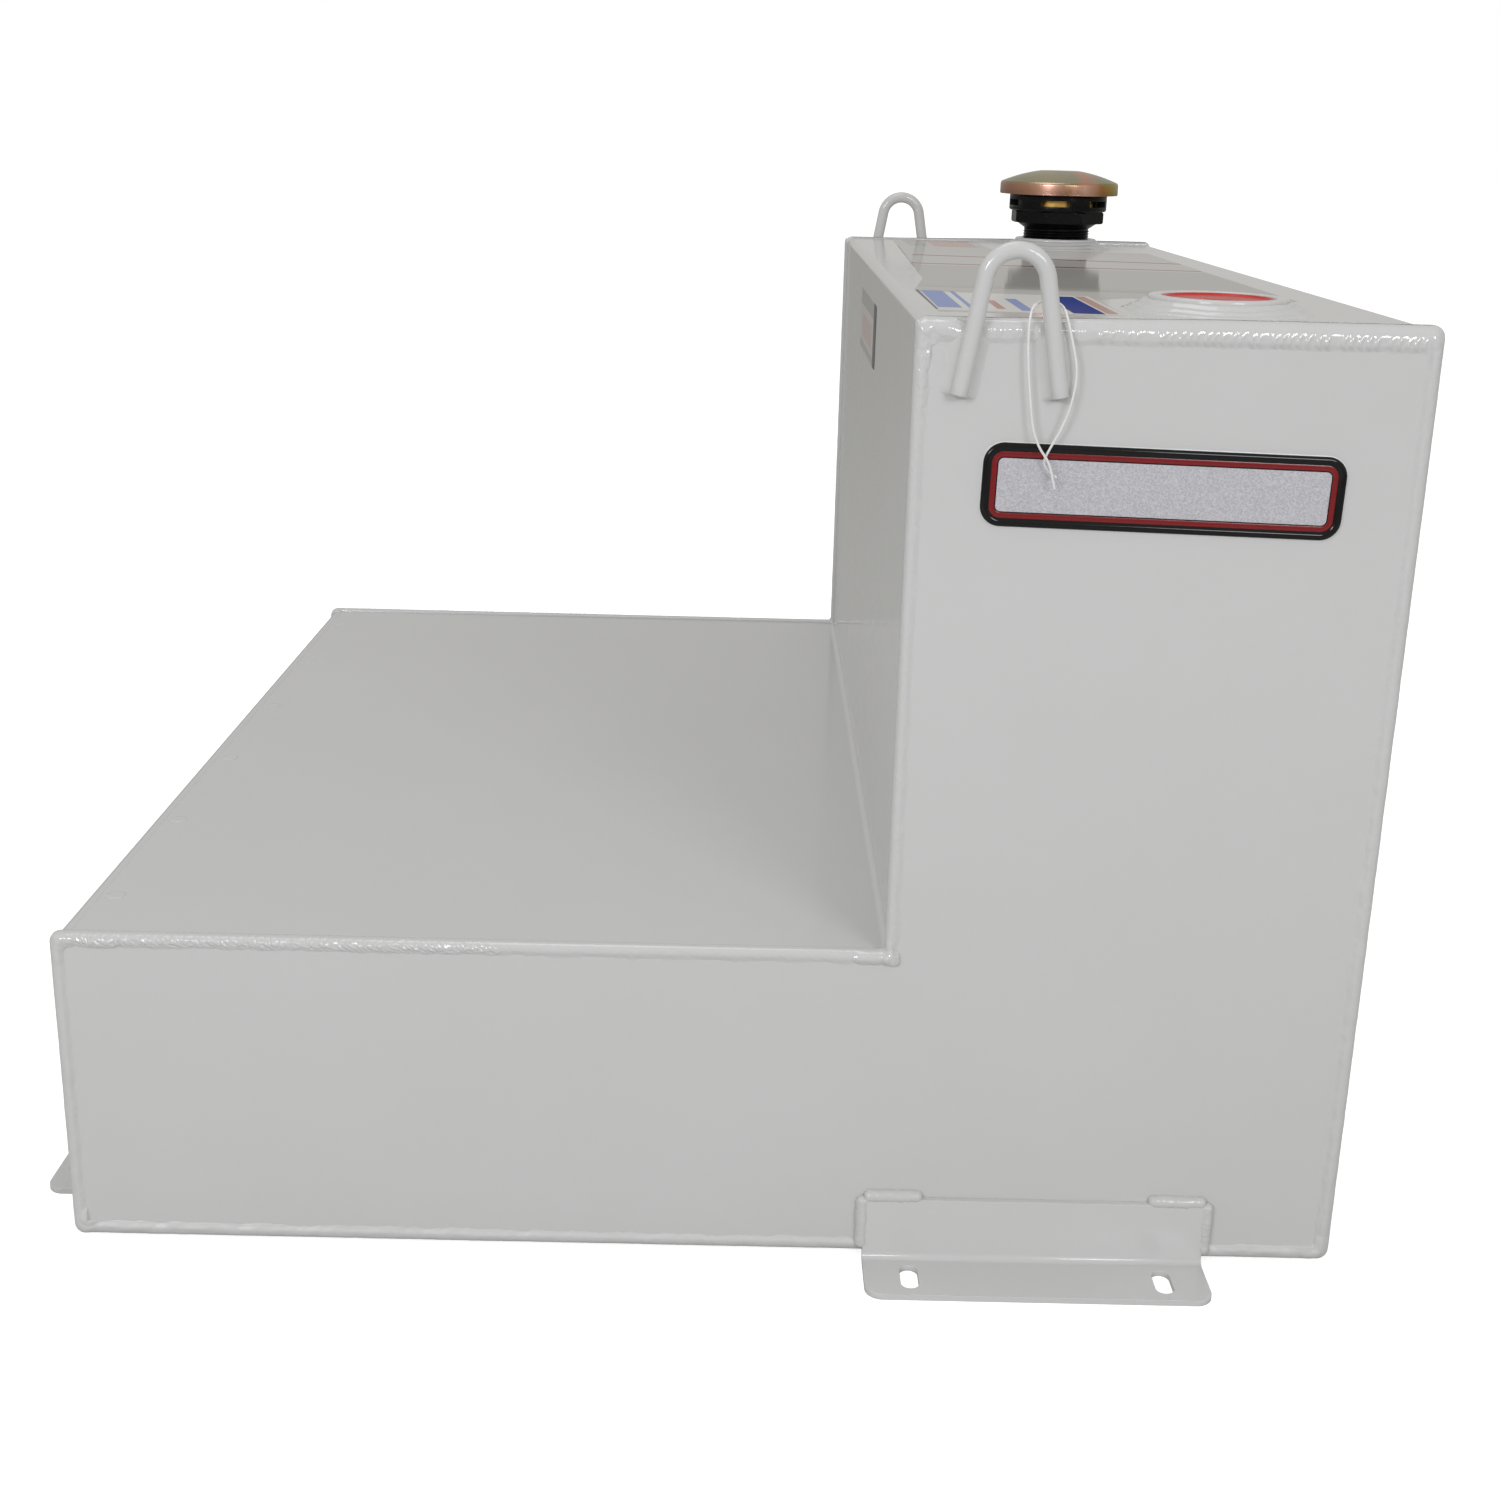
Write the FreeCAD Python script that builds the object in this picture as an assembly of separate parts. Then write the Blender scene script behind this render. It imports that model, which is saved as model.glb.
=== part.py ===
"""L-shaped welded steel transfer tank for a pickup bed, one STEP file for each piece.

X runs from the tail side to the cab side, Y from the near end plate to the far one, Z is up.
The origin is at the middle of the bounding box, on the bed that the brackets stand on.
"""
import FreeCAD, Part
import math
import os

V = FreeCAD.Vector
UP = V(0, 0, 1)

# Tank shell
tank_width = 787.0          # tail face to cab face
tank_length = 836.0         # near end plate to far end plate
tall_depth = 285.0          # front to back of the tall section
tall_height = 575.0         # floor sheet to top sheet, outside
deck_height = 201.0         # floor sheet to deck, outside
sheet = 2.7                 # shell sheet thickness
bend_inside = 4.0           # inside radius of every bend in the shell
floor_gap = 6.3             # bed to the underside of the tank

# Lap joint under the tail edge of the deck
lap_width = 40.0            # inturned flange, outside of the tail wall to its free edge
lap_gap = 0.2               # between flange and deck
seam_cap = 0.4              # how far the ground seam weld stands proud
seam_toe = 1.0              # width of its feathered edges
plug_radius = 6.2
plug_from_tail = 19.5
plug_first = 68.0           # near end plate to the first plug weld
plug_pitch = 142.0
plug_last_least = 50.0      # least distance from the last plug weld to the far end plate
plug_crown = 0.5
plug_flat_radius = 4.3      # level middle of a plug weld

# Weld bead round each end plate
bead_face_top = 15.7        # widths on the end plate, along each side
bead_face_cab = 8.0
bead_face_step = 7.2
bead_face_deck = 9.5
bead_face_tail = 7.8
bead_face_floor = 6.5
bead_side = 5.0             # width on the wrap, past the end plate's inner face
bead_proud_face = 2.0
bead_proud_side = 1.0
bead_round = 5.5
bead_inner_corner = 3.0     # least radius of its inner outline
bead_bulge = 0.72           # middle of a fillet bead, as a share of its two legs

# Baffles
bay_count = 3               # bays of equal length between the end plates
baffle_sheet = 1.9
baffle_flange = 20.0
baffle_bend = 2.0
baffle_clear = 0.3
baffle_corner = 48.0        # corner cut-outs that let liquid and air past
baffle_flange_start = 43.0  # corner to the start of a flange
baffle_flow_radius = 45.0

# Bungs on the top sheet
bung_from_cab = 103.0
bung_from_end = 96.0
bung_rise = 8.6             # ring top above the top sheet
bung_below = 14.0           # length under the top sheet's outer face
bung_edge = 0.8
bung_hole_clear = 0.1
fill_hub_radius = 36.0
fill_weld_radius = 50.0
fill_thread_radius = 29.4
pump_hub_radius = 41.0
pump_weld_radius = 56.5
pump_thread_radius = 28.6
bung_weld_drop = 3.2        # ring top down to the weld
bung_weld_out = 0.62        # middle of the weld's face, as shares of its width
bung_weld_up = 0.5          # and of its height
thread_clear = 0.1
thread_chamfer = 1.0

# Fill adapter, heights above the bung's ring
adapter_below = 12.0
adapter_thread_rise = 8.9
adapter_collar_rise = 4.5
adapter_collar_radius = 35.6
adapter_bore_radius = 24.0
wrench_sides = 8
wrench_radius = 42.0
wrench_height = 10.3
groove = 1.2                # each half of the V groove below the vent ring
ring_radius = 43.0
ring_height = 14.7
ring_wall = 5.0
ring_lip_height = 3.5
spigot_height = 2.7
spigot_wall = 2.0
spigot_clear = 0.1
window_count = 6
window_angle = 34.0
window_turn = -101.5        # middle of the first window, degrees from +X
window_height = 5.1
window_sill = 4.2           # ring bottom to window bottom

# Metal neck sleeve with its bayonet flange
sleeve_radius = 34.0
sleeve_wall = 1.2
sleeve_fit = 0.2
sleeve_seat_depth = 8.3     # below the top of the adapter body
sleeve_proud = 0.2          # above the vent ring
sleeve_mouth_radius = 20.5
notch_width = 18.0
notch_radius = 24.2

# Cap
gasket_thick = 2.5
gasket_inner = 20.8
gasket_outer = 28.5
plate_thick = 1.2
plate_inner = 17.5
plate_outer = 29.0
spring_inner = 18.0
spring_outer = 27.0
spring_thick = 0.8
spring_height = 2.4
spring_gap = 0.3
base_thick = 1.2
base_tube_radius = 16.5
base_tube_wall = 1.5
base_tube_drop = 11.6
base_vent_holes = 4
base_vent_radius = 1.8
base_vent_pitch = 7.0
lug_width = 16.0
lug_radius = 23.4
lug_thick = 1.5
lug_gap = 0.3
cap_radius = 52.0
cap_wall = 1.2
cap_skirt = 11.2            # height of the upright rim
cap_skirt_below = 0.7       # how far the skirt hangs past the vent ring's top
cap_crown = 9.0             # rim top to crown
cap_crown_radius = 17.0
cap_edge_round = 3.0
cap_bow = 1.1               # how far the dome bows out from a straight cone
cap_shoulder_drop = 0.5     # inner shoulder below the outer one
cap_hem = 1.5
cap_fit = 0.1
valve_dome = 11.0
valve_dome_height = 1.8
valve_shoulder = 5.5
valve_shoulder_height = 1.5
valve_lip = 0.4
valve_stem = 2.3
valve_bulb = 3.3
valve_bulb_height = 2.5
valve_tip = 1.5
valve_tip_height = 4.5

# Red plug in the pump bung
plug_seat_depth = 3.0
plug_seat_radius = 33.2
plug_disc_radius = 32.6
plug_disc_thick = 2.4
plug_dish_depth = 1.3
plug_rim = 2.2
plug_stem_length = 14.0
plug_stem_clear = 0.3
plug_stem_taper = 0.7
plug_wall = 1.8
plug_edge = 0.4
plug_dish_slope = 0.6

# Lifting loops
loop_from_cab = 235.25
loop_bar_radius = 4.75
loop_bend_radius = 17.0
loop_rise = 37.2            # tank top to the bar's centre at the crown
loop_drop = 40.4            # tank top down to the leg ends
loop_splay = 9.9            # degrees each leg leans out
loop_weld_below = 1.0       # weld's foot below the leg's end
loop_weld_width = 23.0
loop_weld_height = 34.0
loop_weld_proud = 4.3
loop_weld_round = 4.0

# Brackets
bracket_plate = 4.0
bracket_bend = 4.0
bracket_length = 213.0
bracket_leg = 44.8          # bed to the top of the upright leg
bracket_corner = 11.0
slot_half_width = 5.6
slot_from_middle = 78.3
end_flange = 45.4
end_slot_length = 25.0
end_slot_reach = 25.4       # end plate to the middle of a slot
end_bracket_from_cab = 187.0
tail_flange = 38.5
tail_slot_length = 20.0
tail_slot_reach = 21.5
tail_bracket_from_end = 57.0
bracket_bead = 5.0
bracket_top_bead = 36.0
bracket_bead_trim = 1.0

# Tag tie, a thin plastic strap looped round the near loop's cab-side leg
tie_radius = 0.7

past = 1.0                  # how far a cutter runs past what it cuts
touch = 1e-3                # how near a point counts as on a face

# Places worked out from the sizes above
tail_x = (tail_flange - tank_width - bead_proud_side) / 2
cab_x = tail_x + tank_width
step_x = cab_x - tall_depth
near_y = -tank_length / 2
far_y = tank_length / 2
floor_z = floor_gap
deck_z = floor_z + deck_height
top_z = floor_z + tall_height
bend_outside = bend_inside + sheet
bung_x = cab_x - bung_from_cab
fill_y = far_y - bung_from_end
pump_y = near_y + bung_from_end
ring_z = top_z + bung_rise
collar_z = ring_z + adapter_thread_rise
wrench_z = collar_z + adapter_collar_rise
split_z = wrench_z + wrench_height
ring_top_z = split_z + ring_height
seat_z = ring_top_z + sleeve_proud
plate_z = seat_z + gasket_thick
spring_z = plate_z + plate_thick
base_z = spring_z + spring_height + spring_gap
skirt_z = ring_top_z - cap_skirt_below
loop_x = cab_x - loop_from_cab
end_bracket_x = cab_x - end_bracket_from_cab


def corner_arc(before, corner, after, radius):
    """Arc that rounds a corner in the XZ plane, as its start, middle and end."""
    back = (before - corner).normalize()
    ahead = (after - corner).normalize()
    half = back.getAngle(ahead) / 2
    reach = radius / math.tan(half)
    start = corner + back * reach
    end = corner + ahead * reach
    inward = (back + ahead).normalize()
    middle = corner + inward * (radius / math.sin(half) - radius)
    return start, middle, end


def rounded_edges(points, radii, closed=False):
    """Straight runs joined by arcs through a list of points, one radius for each point."""
    count = len(points)
    edges = []
    last = None
    first = None
    for i in range(count):
        here = points[i]
        inner = closed or 0 < i < count - 1
        if inner and radii[i] > 0:
            start, middle, end = corner_arc(points[i - 1], here, points[(i + 1) % count], radii[i])
        else:
            start, middle, end = here, None, here
        if last is not None and (start - last).Length > 1e-6:
            edges.append(Part.LineSegment(last, start).toShape())
        if middle is not None:
            edges.append(Part.Arc(start, middle, end).toShape())
        if first is None:
            first = start
        last = end
    if closed and (first - last).Length > 1e-6:
        edges.append(Part.LineSegment(last, first).toShape())
    return edges


def side_offset(points, distance):
    """The same path moved to its left in the XZ plane, corners kept sharp."""
    lines = []
    for a, b in zip(points, points[1:]):
        run = (b - a).normalize()
        left = V(-run.z, 0, run.x) * distance
        lines.append((a + left, run))
    moved = [lines[0][0]]
    for (p, d), (q, e) in zip(lines, lines[1:]):
        cross = d.x * e.z - d.z * e.x
        along = ((q.x - p.x) * e.z - (q.z - p.z) * e.x) / cross
        moved.append(p + d * along)
    moved.append(lines[-1][0] + lines[-1][1] * (points[-1] - points[-2]).Length)
    return moved


def folded_strip(points, thickness, inside_radius):
    """Face of a folded sheet in the XZ plane; the sheet lies to the left of its path."""
    radii_path = [0.0]
    radii_back = [0.0]
    for a, b, c in zip(points, points[1:], points[2:]):
        turn_left = (b - a).x * (c - b).z - (b - a).z * (c - b).x > 0
        radii_path.append(inside_radius + (thickness if turn_left else 0.0))
        radii_back.append(inside_radius + (0.0 if turn_left else thickness))
    radii_path.append(0.0)
    radii_back.append(0.0)
    back = side_offset(points, thickness)
    edges = rounded_edges(points, radii_path)
    edges.append(Part.LineSegment(points[-1], back[-1]).toShape())
    edges += rounded_edges(back, radii_back)[::-1]
    edges.append(Part.LineSegment(back[0], points[0]).toShape())
    return Part.Face(Part.Wire(Part.__sortEdges__(edges)))


def l_corners(y, insets):
    """Corners of the tank's section, moved inwards by one inset for each of its sides."""
    tail_in, cab_in, step_in, floor_in, top_in, deck_in = insets
    tail, cab, step = tail_x + tail_in, cab_x - cab_in, step_x + step_in
    floor, top, deck = floor_z + floor_in, top_z - top_in, deck_z - deck_in
    return [V(tail, y, floor), V(cab, y, floor), V(cab, y, top),
            V(step, y, top), V(step, y, deck), V(tail, y, deck)]


def l_outline(inset, y, least_radius=1.0):
    """Closed outline of the tank's section, moved inwards by inset, as a face at a given Y."""
    points = l_corners(y, [inset] * 6)
    convex = max(bend_outside - inset, least_radius)
    concave = max(bend_inside + inset, least_radius)
    radii = [convex, convex, convex, convex, concave, convex]
    return Part.Face(Part.Wire(rounded_edges(points, radii, closed=True)))


def l_prism(inset, y_start, y_end, least_radius=1.0):
    """Solid with the tank's section, from one Y to another."""
    return l_outline(inset, y_start, least_radius).extrude(V(0, y_end - y_start, 0))


def turned(points, x, y):
    """Solid of revolution about a vertical axis, from (radius, height) pairs."""
    corners = [V(x + r, y, z) for r, z in points]
    corners.append(corners[0])
    face = Part.Face(Part.makePolygon(corners))
    return face.revolve(V(x, y, 0), UP, 360)


def tube(x, y, inner, outer, z_low, z_high):
    """Plain upright tube, or a rod when the inner radius is nought."""
    rod = Part.makeCylinder(outer, z_high - z_low, V(x, y, z_low))
    if inner <= 0:
        return rod
    return rod.cut(Part.makeCylinder(inner, z_high - z_low, V(x, y, z_low)))


def mirrored_end(shape):
    """The same piece at the far end of the tank."""
    return shape.mirror(V(0, 0, 0), V(0, 1, 0))


def edges_at(shape, test):
    """Edges whose two ends and middle all pass a test on their points."""
    chosen = []
    for edge in shape.Edges:
        low, high = edge.ParameterRange
        points = [edge.valueAt(low), edge.valueAt((low + high) / 2), edge.valueAt(high)]
        if all(test(p) for p in points):
            chosen.append(edge)
    return chosen


# Shell

def tank_wrap():
    """One sheet: lap flange, tail wall, floor, cab wall, top, step wall and deck."""
    lap_z = deck_z - sheet - lap_gap
    deck_edge = tail_x + bend_outside + sheet + lap_gap
    path = [V(tail_x + lap_width, 0, lap_z), V(tail_x, 0, lap_z), V(tail_x, 0, floor_z),
            V(cab_x, 0, floor_z), V(cab_x, 0, top_z), V(step_x, 0, top_z),
            V(step_x, 0, deck_z), V(deck_edge, 0, deck_z)]
    face = folded_strip(path, sheet, bend_inside)
    face.translate(V(0, near_y + sheet, 0))
    wrap = face.extrude(V(0, tank_length - 2 * sheet, 0))
    for y, hub in ((fill_y, fill_hub_radius), (pump_y, pump_hub_radius)):
        hole = hub + bung_hole_clear
        wrap = wrap.cut(Part.makeCylinder(hole, 3 * sheet, V(bung_x, y, top_z - 2 * sheet)))
    for x, y in plug_places():
        wrap = wrap.cut(Part.makeCylinder(plug_radius, sheet + lap_gap / 2, V(x, y, deck_z - sheet)))
    return wrap


def plug_places():
    """Centres of the plug welds, from the near end to the far end."""
    count = int((tank_length - plug_first - plug_last_least) / plug_pitch) + 1
    return [(tail_x + plug_from_tail, near_y + plug_first + i * plug_pitch) for i in range(count)]


def plug_welds():
    """Filled holes in the deck that hold the lap flange, each slightly crowned."""
    plugs = []
    for x, y in plug_places():
        body = turned([(0, deck_z - sheet - lap_gap), (plug_radius, deck_z - sheet - lap_gap),
                       (plug_radius, deck_z), (plug_flat_radius, deck_z + plug_crown),
                       (0, deck_z + plug_crown)], x, y)
        plugs.append(body)
    return Part.makeCompound(plugs)


def seam_weld():
    """Weld along the tail edge of the deck, ground to a soft round."""
    arc_radius = bend_outside + sheet + lap_gap
    y = near_y + sheet
    middle = V(tail_x + arc_radius, y, deck_z - arc_radius)
    outer = arc_radius + seam_cap
    slant = math.sqrt(0.5)
    lap_z = deck_z - sheet - lap_gap
    low = V(tail_x - seam_cap, y, middle.z)
    high = V(middle.x, y, deck_z + seam_cap)
    bend_centre = V(tail_x + bend_outside, y, lap_z - bend_outside)
    bend_low = V(tail_x, y, bend_centre.z)
    bend_high = V(bend_centre.x, y, lap_z)
    edges = [
        Part.Arc(low, middle + V(-outer * slant, 0, outer * slant), high).toShape(),
        Part.LineSegment(high, V(middle.x + seam_toe, y, deck_z)).toShape(),
        Part.LineSegment(V(middle.x + seam_toe, y, deck_z), V(middle.x, y, deck_z)).toShape(),
        Part.LineSegment(V(middle.x, y, deck_z), V(middle.x, y, lap_z)).toShape(),
        Part.LineSegment(V(middle.x, y, lap_z), bend_high).toShape(),
        Part.Arc(bend_high, bend_centre + V(-bend_outside * slant, 0, bend_outside * slant),
                 bend_low).toShape(),
        Part.LineSegment(bend_low, V(tail_x, y, middle.z - seam_toe)).toShape(),
        Part.LineSegment(V(tail_x, y, middle.z - seam_toe), low).toShape(),
    ]
    return Part.Face(Part.Wire(edges)).extrude(V(0, tank_length - 2 * sheet, 0))


def end_plate():
    """L-shaped plate whose edges meet the wrap corner to corner."""
    return l_prism(sheet, near_y, near_y + sheet)


def end_bead(seam):
    """Wide convex bead that fills the open corner round an end plate, over the seam's end."""
    back = near_y + sheet + bead_side
    bead = l_prism(-bead_proud_side, near_y - bead_proud_face, back)
    front = near_y - bead_proud_face
    bead = bead.makeFillet(bead_round, edges_at(bead, lambda p: abs(p.y - front) < touch))
    bead = bead.cut(l_prism(0, near_y + sheet, back + past))
    bead = bead.cut(l_prism(sheet, near_y, near_y + 2 * sheet))
    bead = bead.cut(bead_window())
    bead = bead.cut(bracket_leg_space())
    for side in (-1, 1):
        bead = bead.cut(loop_leg(side))
    return biggest(bead.cut(seam))


def bead_window():
    """Bare middle of the end plate, inside its bead."""
    widths = [bead_face_tail, bead_face_cab, bead_face_step, bead_face_floor, bead_face_top, bead_face_deck]
    front = near_y - 2 * bead_proud_face
    edges = rounded_edges(l_corners(front, widths), [bead_inner_corner] * len(widths), closed=True)
    return Part.Face(Part.Wire(edges)).extrude(V(0, near_y + sheet - front, 0))


# Baffles

def baffle(y):
    """Flanged plate across the tank, with corner cut-outs and two flow holes."""
    inset = sheet + baffle_clear
    plate = l_prism(inset, y, y + baffle_sheet)
    tail, cab, step = tail_x + inset, cab_x - inset, step_x + inset
    floor, top, deck = floor_z + inset, top_z - inset, deck_z - inset
    edges = [((tail, floor), (cab, floor)), ((cab, floor), (cab, top)),
             ((cab, top), (step, top)), ((step, top), (step, deck)), ((step, deck), (tail, deck))]
    for (x0, z0), (x1, z1) in edges:
        plate = plate.fuse(baffle_edge(V(x0, y, z0), V(x1, y, z1)))
    for x, z in ((tail, floor), (cab, floor), (cab, top), (step, top), (tail, deck)):
        start = V(x, y - baffle_flange, z)
        plate = plate.cut(Part.makeCylinder(baffle_corner, 3 * baffle_flange, start, V(0, 1, 0)))
    for x, z in (((tail + step) / 2, (floor + deck) / 2), ((step + cab) / 2, (deck + top) / 2),
                 ((step + cab) / 2, (floor + deck) / 2)):
        start = V(x, y - baffle_sheet, z)
        plate = plate.cut(Part.makeCylinder(baffle_flow_radius, 3 * baffle_sheet, start, V(0, 1, 0)))
    return plate.removeSplitter()


def baffle_edge(start, end):
    """Turned flange along one edge of a baffle, short of the corners."""
    run = (end - start).normalize()
    inward = V(-run.z, 0, run.x)
    first = start + run * baffle_flange_start
    length = (end - start).Length - 2 * baffle_flange_start
    reach = baffle_bend + baffle_sheet
    points = [first + inward * (2 * reach), first, first + V(0, baffle_flange, 0)]
    inner = [points[0] + V(0, baffle_sheet, 0), first + inward * baffle_sheet + V(0, baffle_sheet, 0),
             points[2] + inward * baffle_sheet]
    outer_arc = corner_arc(points[0], points[1], points[2], reach)
    inner_arc = corner_arc(inner[0], inner[1], inner[2], baffle_bend)
    edges = [Part.LineSegment(points[0], outer_arc[0]).toShape(),
             Part.Arc(*outer_arc).toShape(),
             Part.LineSegment(outer_arc[2], points[2]).toShape(),
             Part.LineSegment(points[2], inner[2]).toShape(),
             Part.LineSegment(inner[2], inner_arc[2]).toShape(),
             Part.Arc(inner_arc[2], inner_arc[1], inner_arc[0]).toShape(),
             Part.LineSegment(inner_arc[0], inner[0]).toShape(),
             Part.LineSegment(inner[0], points[0]).toShape()]
    return Part.Face(Part.Wire(edges)).extrude(run * length)


# Bungs

def bung(y, hub_radius, thread_radius, seat_radius=0.0):
    """Turned ring through the top sheet, with a counterbore where it has a seat."""
    low = top_z - bung_below
    inner = [(thread_radius, low + bung_edge), (thread_radius + bung_edge, low)]
    if seat_radius > 0:
        seat = ring_z - plug_seat_depth
        mouth = [(seat_radius, ring_z - bung_edge / 2), (seat_radius, seat), (thread_radius, seat)]
        lip = seat_radius + bung_edge / 2
    else:
        mouth = [(thread_radius, ring_z - bung_edge)]
        lip = thread_radius + bung_edge
    outline = inner + [(hub_radius - bung_edge, low), (hub_radius, low + bung_edge),
                       (hub_radius, ring_z - bung_edge), (hub_radius - bung_edge, ring_z),
                       (lip, ring_z)] + mouth
    return turned(outline, bung_x, y)


def bung_weld(y, hub_radius, toe_radius):
    """Convex fillet weld from a bung's hub down to the top sheet."""
    high = ring_z - bung_weld_drop
    start = V(bung_x + hub_radius, y, high)
    toe = V(bung_x + toe_radius, y, top_z)
    root = V(bung_x + hub_radius, y, top_z)
    width = toe_radius - hub_radius
    middle = V(root.x + bung_weld_out * width, y, top_z + bung_weld_up * (high - top_z))
    edges = [Part.Arc(start, middle, toe).toShape(),
             Part.LineSegment(toe, root).toShape(),
             Part.LineSegment(root, start).toShape()]
    return Part.Face(Part.Wire(edges)).revolve(V(bung_x, y, 0), UP, 360)


# Fill adapter

def adapter_body():
    """Black plastic body: thread, tapered collar, wrench ring and the sleeve's seat."""
    thread_radius = fill_thread_radius - thread_clear
    seat = split_z - sleeve_seat_depth
    bore = sleeve_radius + sleeve_fit / 2
    spigot = ring_radius - ring_wall - spigot_clear
    foot = ring_z - adapter_below
    body = turned([(adapter_bore_radius, foot), (thread_radius - thread_chamfer, foot),
                   (thread_radius, foot + thread_chamfer), (thread_radius, collar_z),
                   (adapter_collar_radius, wrench_z), (adapter_collar_radius, split_z),
                   (spigot, split_z), (spigot, split_z + spigot_height),
                   (spigot - spigot_wall, split_z + spigot_height), (spigot - spigot_wall, split_z),
                   (bore, split_z), (bore, seat), (adapter_bore_radius, seat)], bung_x, fill_y)
    wrench = wrench_ring(bore)
    return body.fuse(wrench).removeSplitter()


def wrench_ring(bore):
    """Eight-sided ring with turned chamfers above and below."""
    turn = 360.0 / wrench_sides
    corners = []
    for i in range(wrench_sides + 1):
        angle = math.radians((i + 0.5) * turn)
        corners.append(V(bung_x + wrench_radius * math.cos(angle),
                         fill_y + wrench_radius * math.sin(angle), wrench_z))
    prism = Part.Face(Part.makePolygon(corners)).extrude(V(0, 0, wrench_height))
    envelope = turned([(bore, wrench_z), (wrench_radius - groove, wrench_z),
                       (wrench_radius, wrench_z + groove), (wrench_radius, split_z - groove),
                       (wrench_radius - 2 * groove, split_z), (bore, split_z)], bung_x, fill_y)
    return prism.common(envelope)


def vent_ring():
    """Upper plastic ring with its row of vent windows."""
    inner = ring_radius - ring_wall
    lip = sleeve_radius + sleeve_fit
    lip_z = ring_top_z - ring_lip_height
    ring = turned([(inner, split_z), (ring_radius - groove, split_z), (ring_radius, split_z + groove),
                   (ring_radius, ring_top_z - groove), (ring_radius - groove, ring_top_z),
                   (lip, ring_top_z), (lip, lip_z), (inner, lip_z)], bung_x, fill_y)
    low = split_z + window_sill
    for i in range(window_count):
        middle = window_turn + i * 360.0 / window_count
        foot = V(bung_x, fill_y, low)
        sector = Part.makeCylinder(ring_radius + past, window_height, foot, UP, window_angle)
        sector = sector.cut(Part.makeCylinder(inner - past, window_height, foot))
        sector.rotate(V(bung_x, fill_y, 0), UP, middle - window_angle / 2)
        ring = ring.cut(sector)
    return ring


def neck_sleeve():
    """Pressed metal sleeve with an inturned bayonet flange, notched for two lugs."""
    low = split_z - sleeve_seat_depth
    inner = sleeve_radius - sleeve_wall
    sleeve = turned([(inner, low), (sleeve_radius, low), (sleeve_radius, seat_z - sleeve_wall / 2),
                     (sleeve_radius - sleeve_wall / 2, seat_z), (sleeve_mouth_radius, seat_z),
                     (sleeve_mouth_radius, seat_z - sleeve_wall), (inner, seat_z - sleeve_wall)],
                    bung_x, fill_y)
    slot = Part.makeBox(2 * notch_radius, notch_width, 2 * sleeve_wall,
                        V(bung_x - notch_radius, fill_y - notch_width / 2, seat_z - 1.5 * sleeve_wall))
    reach = Part.makeCylinder(notch_radius, 3 * sleeve_wall, V(bung_x, fill_y, seat_z - 2 * sleeve_wall))
    return sleeve.cut(slot.common(reach))


# Cap

def cap_gasket():
    """Flat rubber ring that seals on the sleeve's flange."""
    return tube(bung_x, fill_y, gasket_inner, gasket_outer, seat_z, plate_z)


def gasket_plate():
    """Steel washer that presses the gasket."""
    return tube(bung_x, fill_y, plate_inner, plate_outer, plate_z, spring_z)


def cap_spring():
    """Coned spring washer between the gasket plate and the bayonet base."""
    rise = spring_height - spring_thick
    return turned([(spring_inner, spring_z + rise), (spring_inner, spring_z + spring_height),
                   (spring_outer, spring_z + spring_thick), (spring_outer, spring_z)], bung_x, fill_y)


def cap_base():
    """Pressed base with a closed tube, two bayonet lugs and vent holes."""
    tube_inner = base_tube_radius - base_tube_wall
    low = base_z - base_tube_drop
    rim = cap_radius - cap_wall - cap_fit
    base = turned([(0, low), (base_tube_radius, low), (base_tube_radius, base_z), (rim, base_z),
                   (rim, base_z + base_thick), (tube_inner, base_z + base_thick),
                   (tube_inner, low + base_thick), (0, low + base_thick)], bung_x, fill_y)
    lug_top = seat_z - sleeve_wall - lug_gap
    lugs = Part.makeBox(2 * lug_radius, lug_width, lug_thick,
                        V(bung_x - lug_radius, fill_y - lug_width / 2, lug_top - lug_thick))
    lugs = lugs.common(tube(bung_x, fill_y, tube_inner, lug_radius, lug_top - lug_thick, lug_top))
    base = base.fuse(lugs)
    base = base.cut(Part.makeCylinder(valve_stem, 4 * base_thick, V(bung_x, fill_y, low - base_thick)))
    for i in range(base_vent_holes):
        angle = math.radians(45 + i * 360.0 / base_vent_holes)
        spot = V(bung_x + base_vent_pitch * math.cos(angle), fill_y + base_vent_pitch * math.sin(angle),
                 low - base_thick)
        base = base.cut(Part.makeCylinder(base_vent_radius, 4 * base_thick, spot))
    return base.removeSplitter()


def cap_shell():
    """Domed sheet with a flat crown, an upright rim and a hem turned in at its foot."""
    x, y = bung_x, fill_y
    rim_z = skirt_z + cap_skirt
    crown_z = rim_z + cap_crown
    outer = dome(cap_radius, rim_z, crown_z, cap_edge_round)
    inner_radius = cap_radius - cap_wall
    inner = turned([(0, skirt_z), (inner_radius, skirt_z), (inner_radius, base_z + base_thick + cap_fit),
                    (cap_radius - cap_edge_round, rim_z - cap_shoulder_drop),
                    (cap_crown_radius, crown_z - cap_wall), (0, crown_z - cap_wall)], x, y)
    shell = outer.cut(inner)
    hem = tube(x, y, cap_radius - cap_wall - cap_hem, cap_radius - cap_wall, skirt_z, skirt_z + cap_wall)
    return shell.fuse(hem).removeSplitter()


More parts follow.
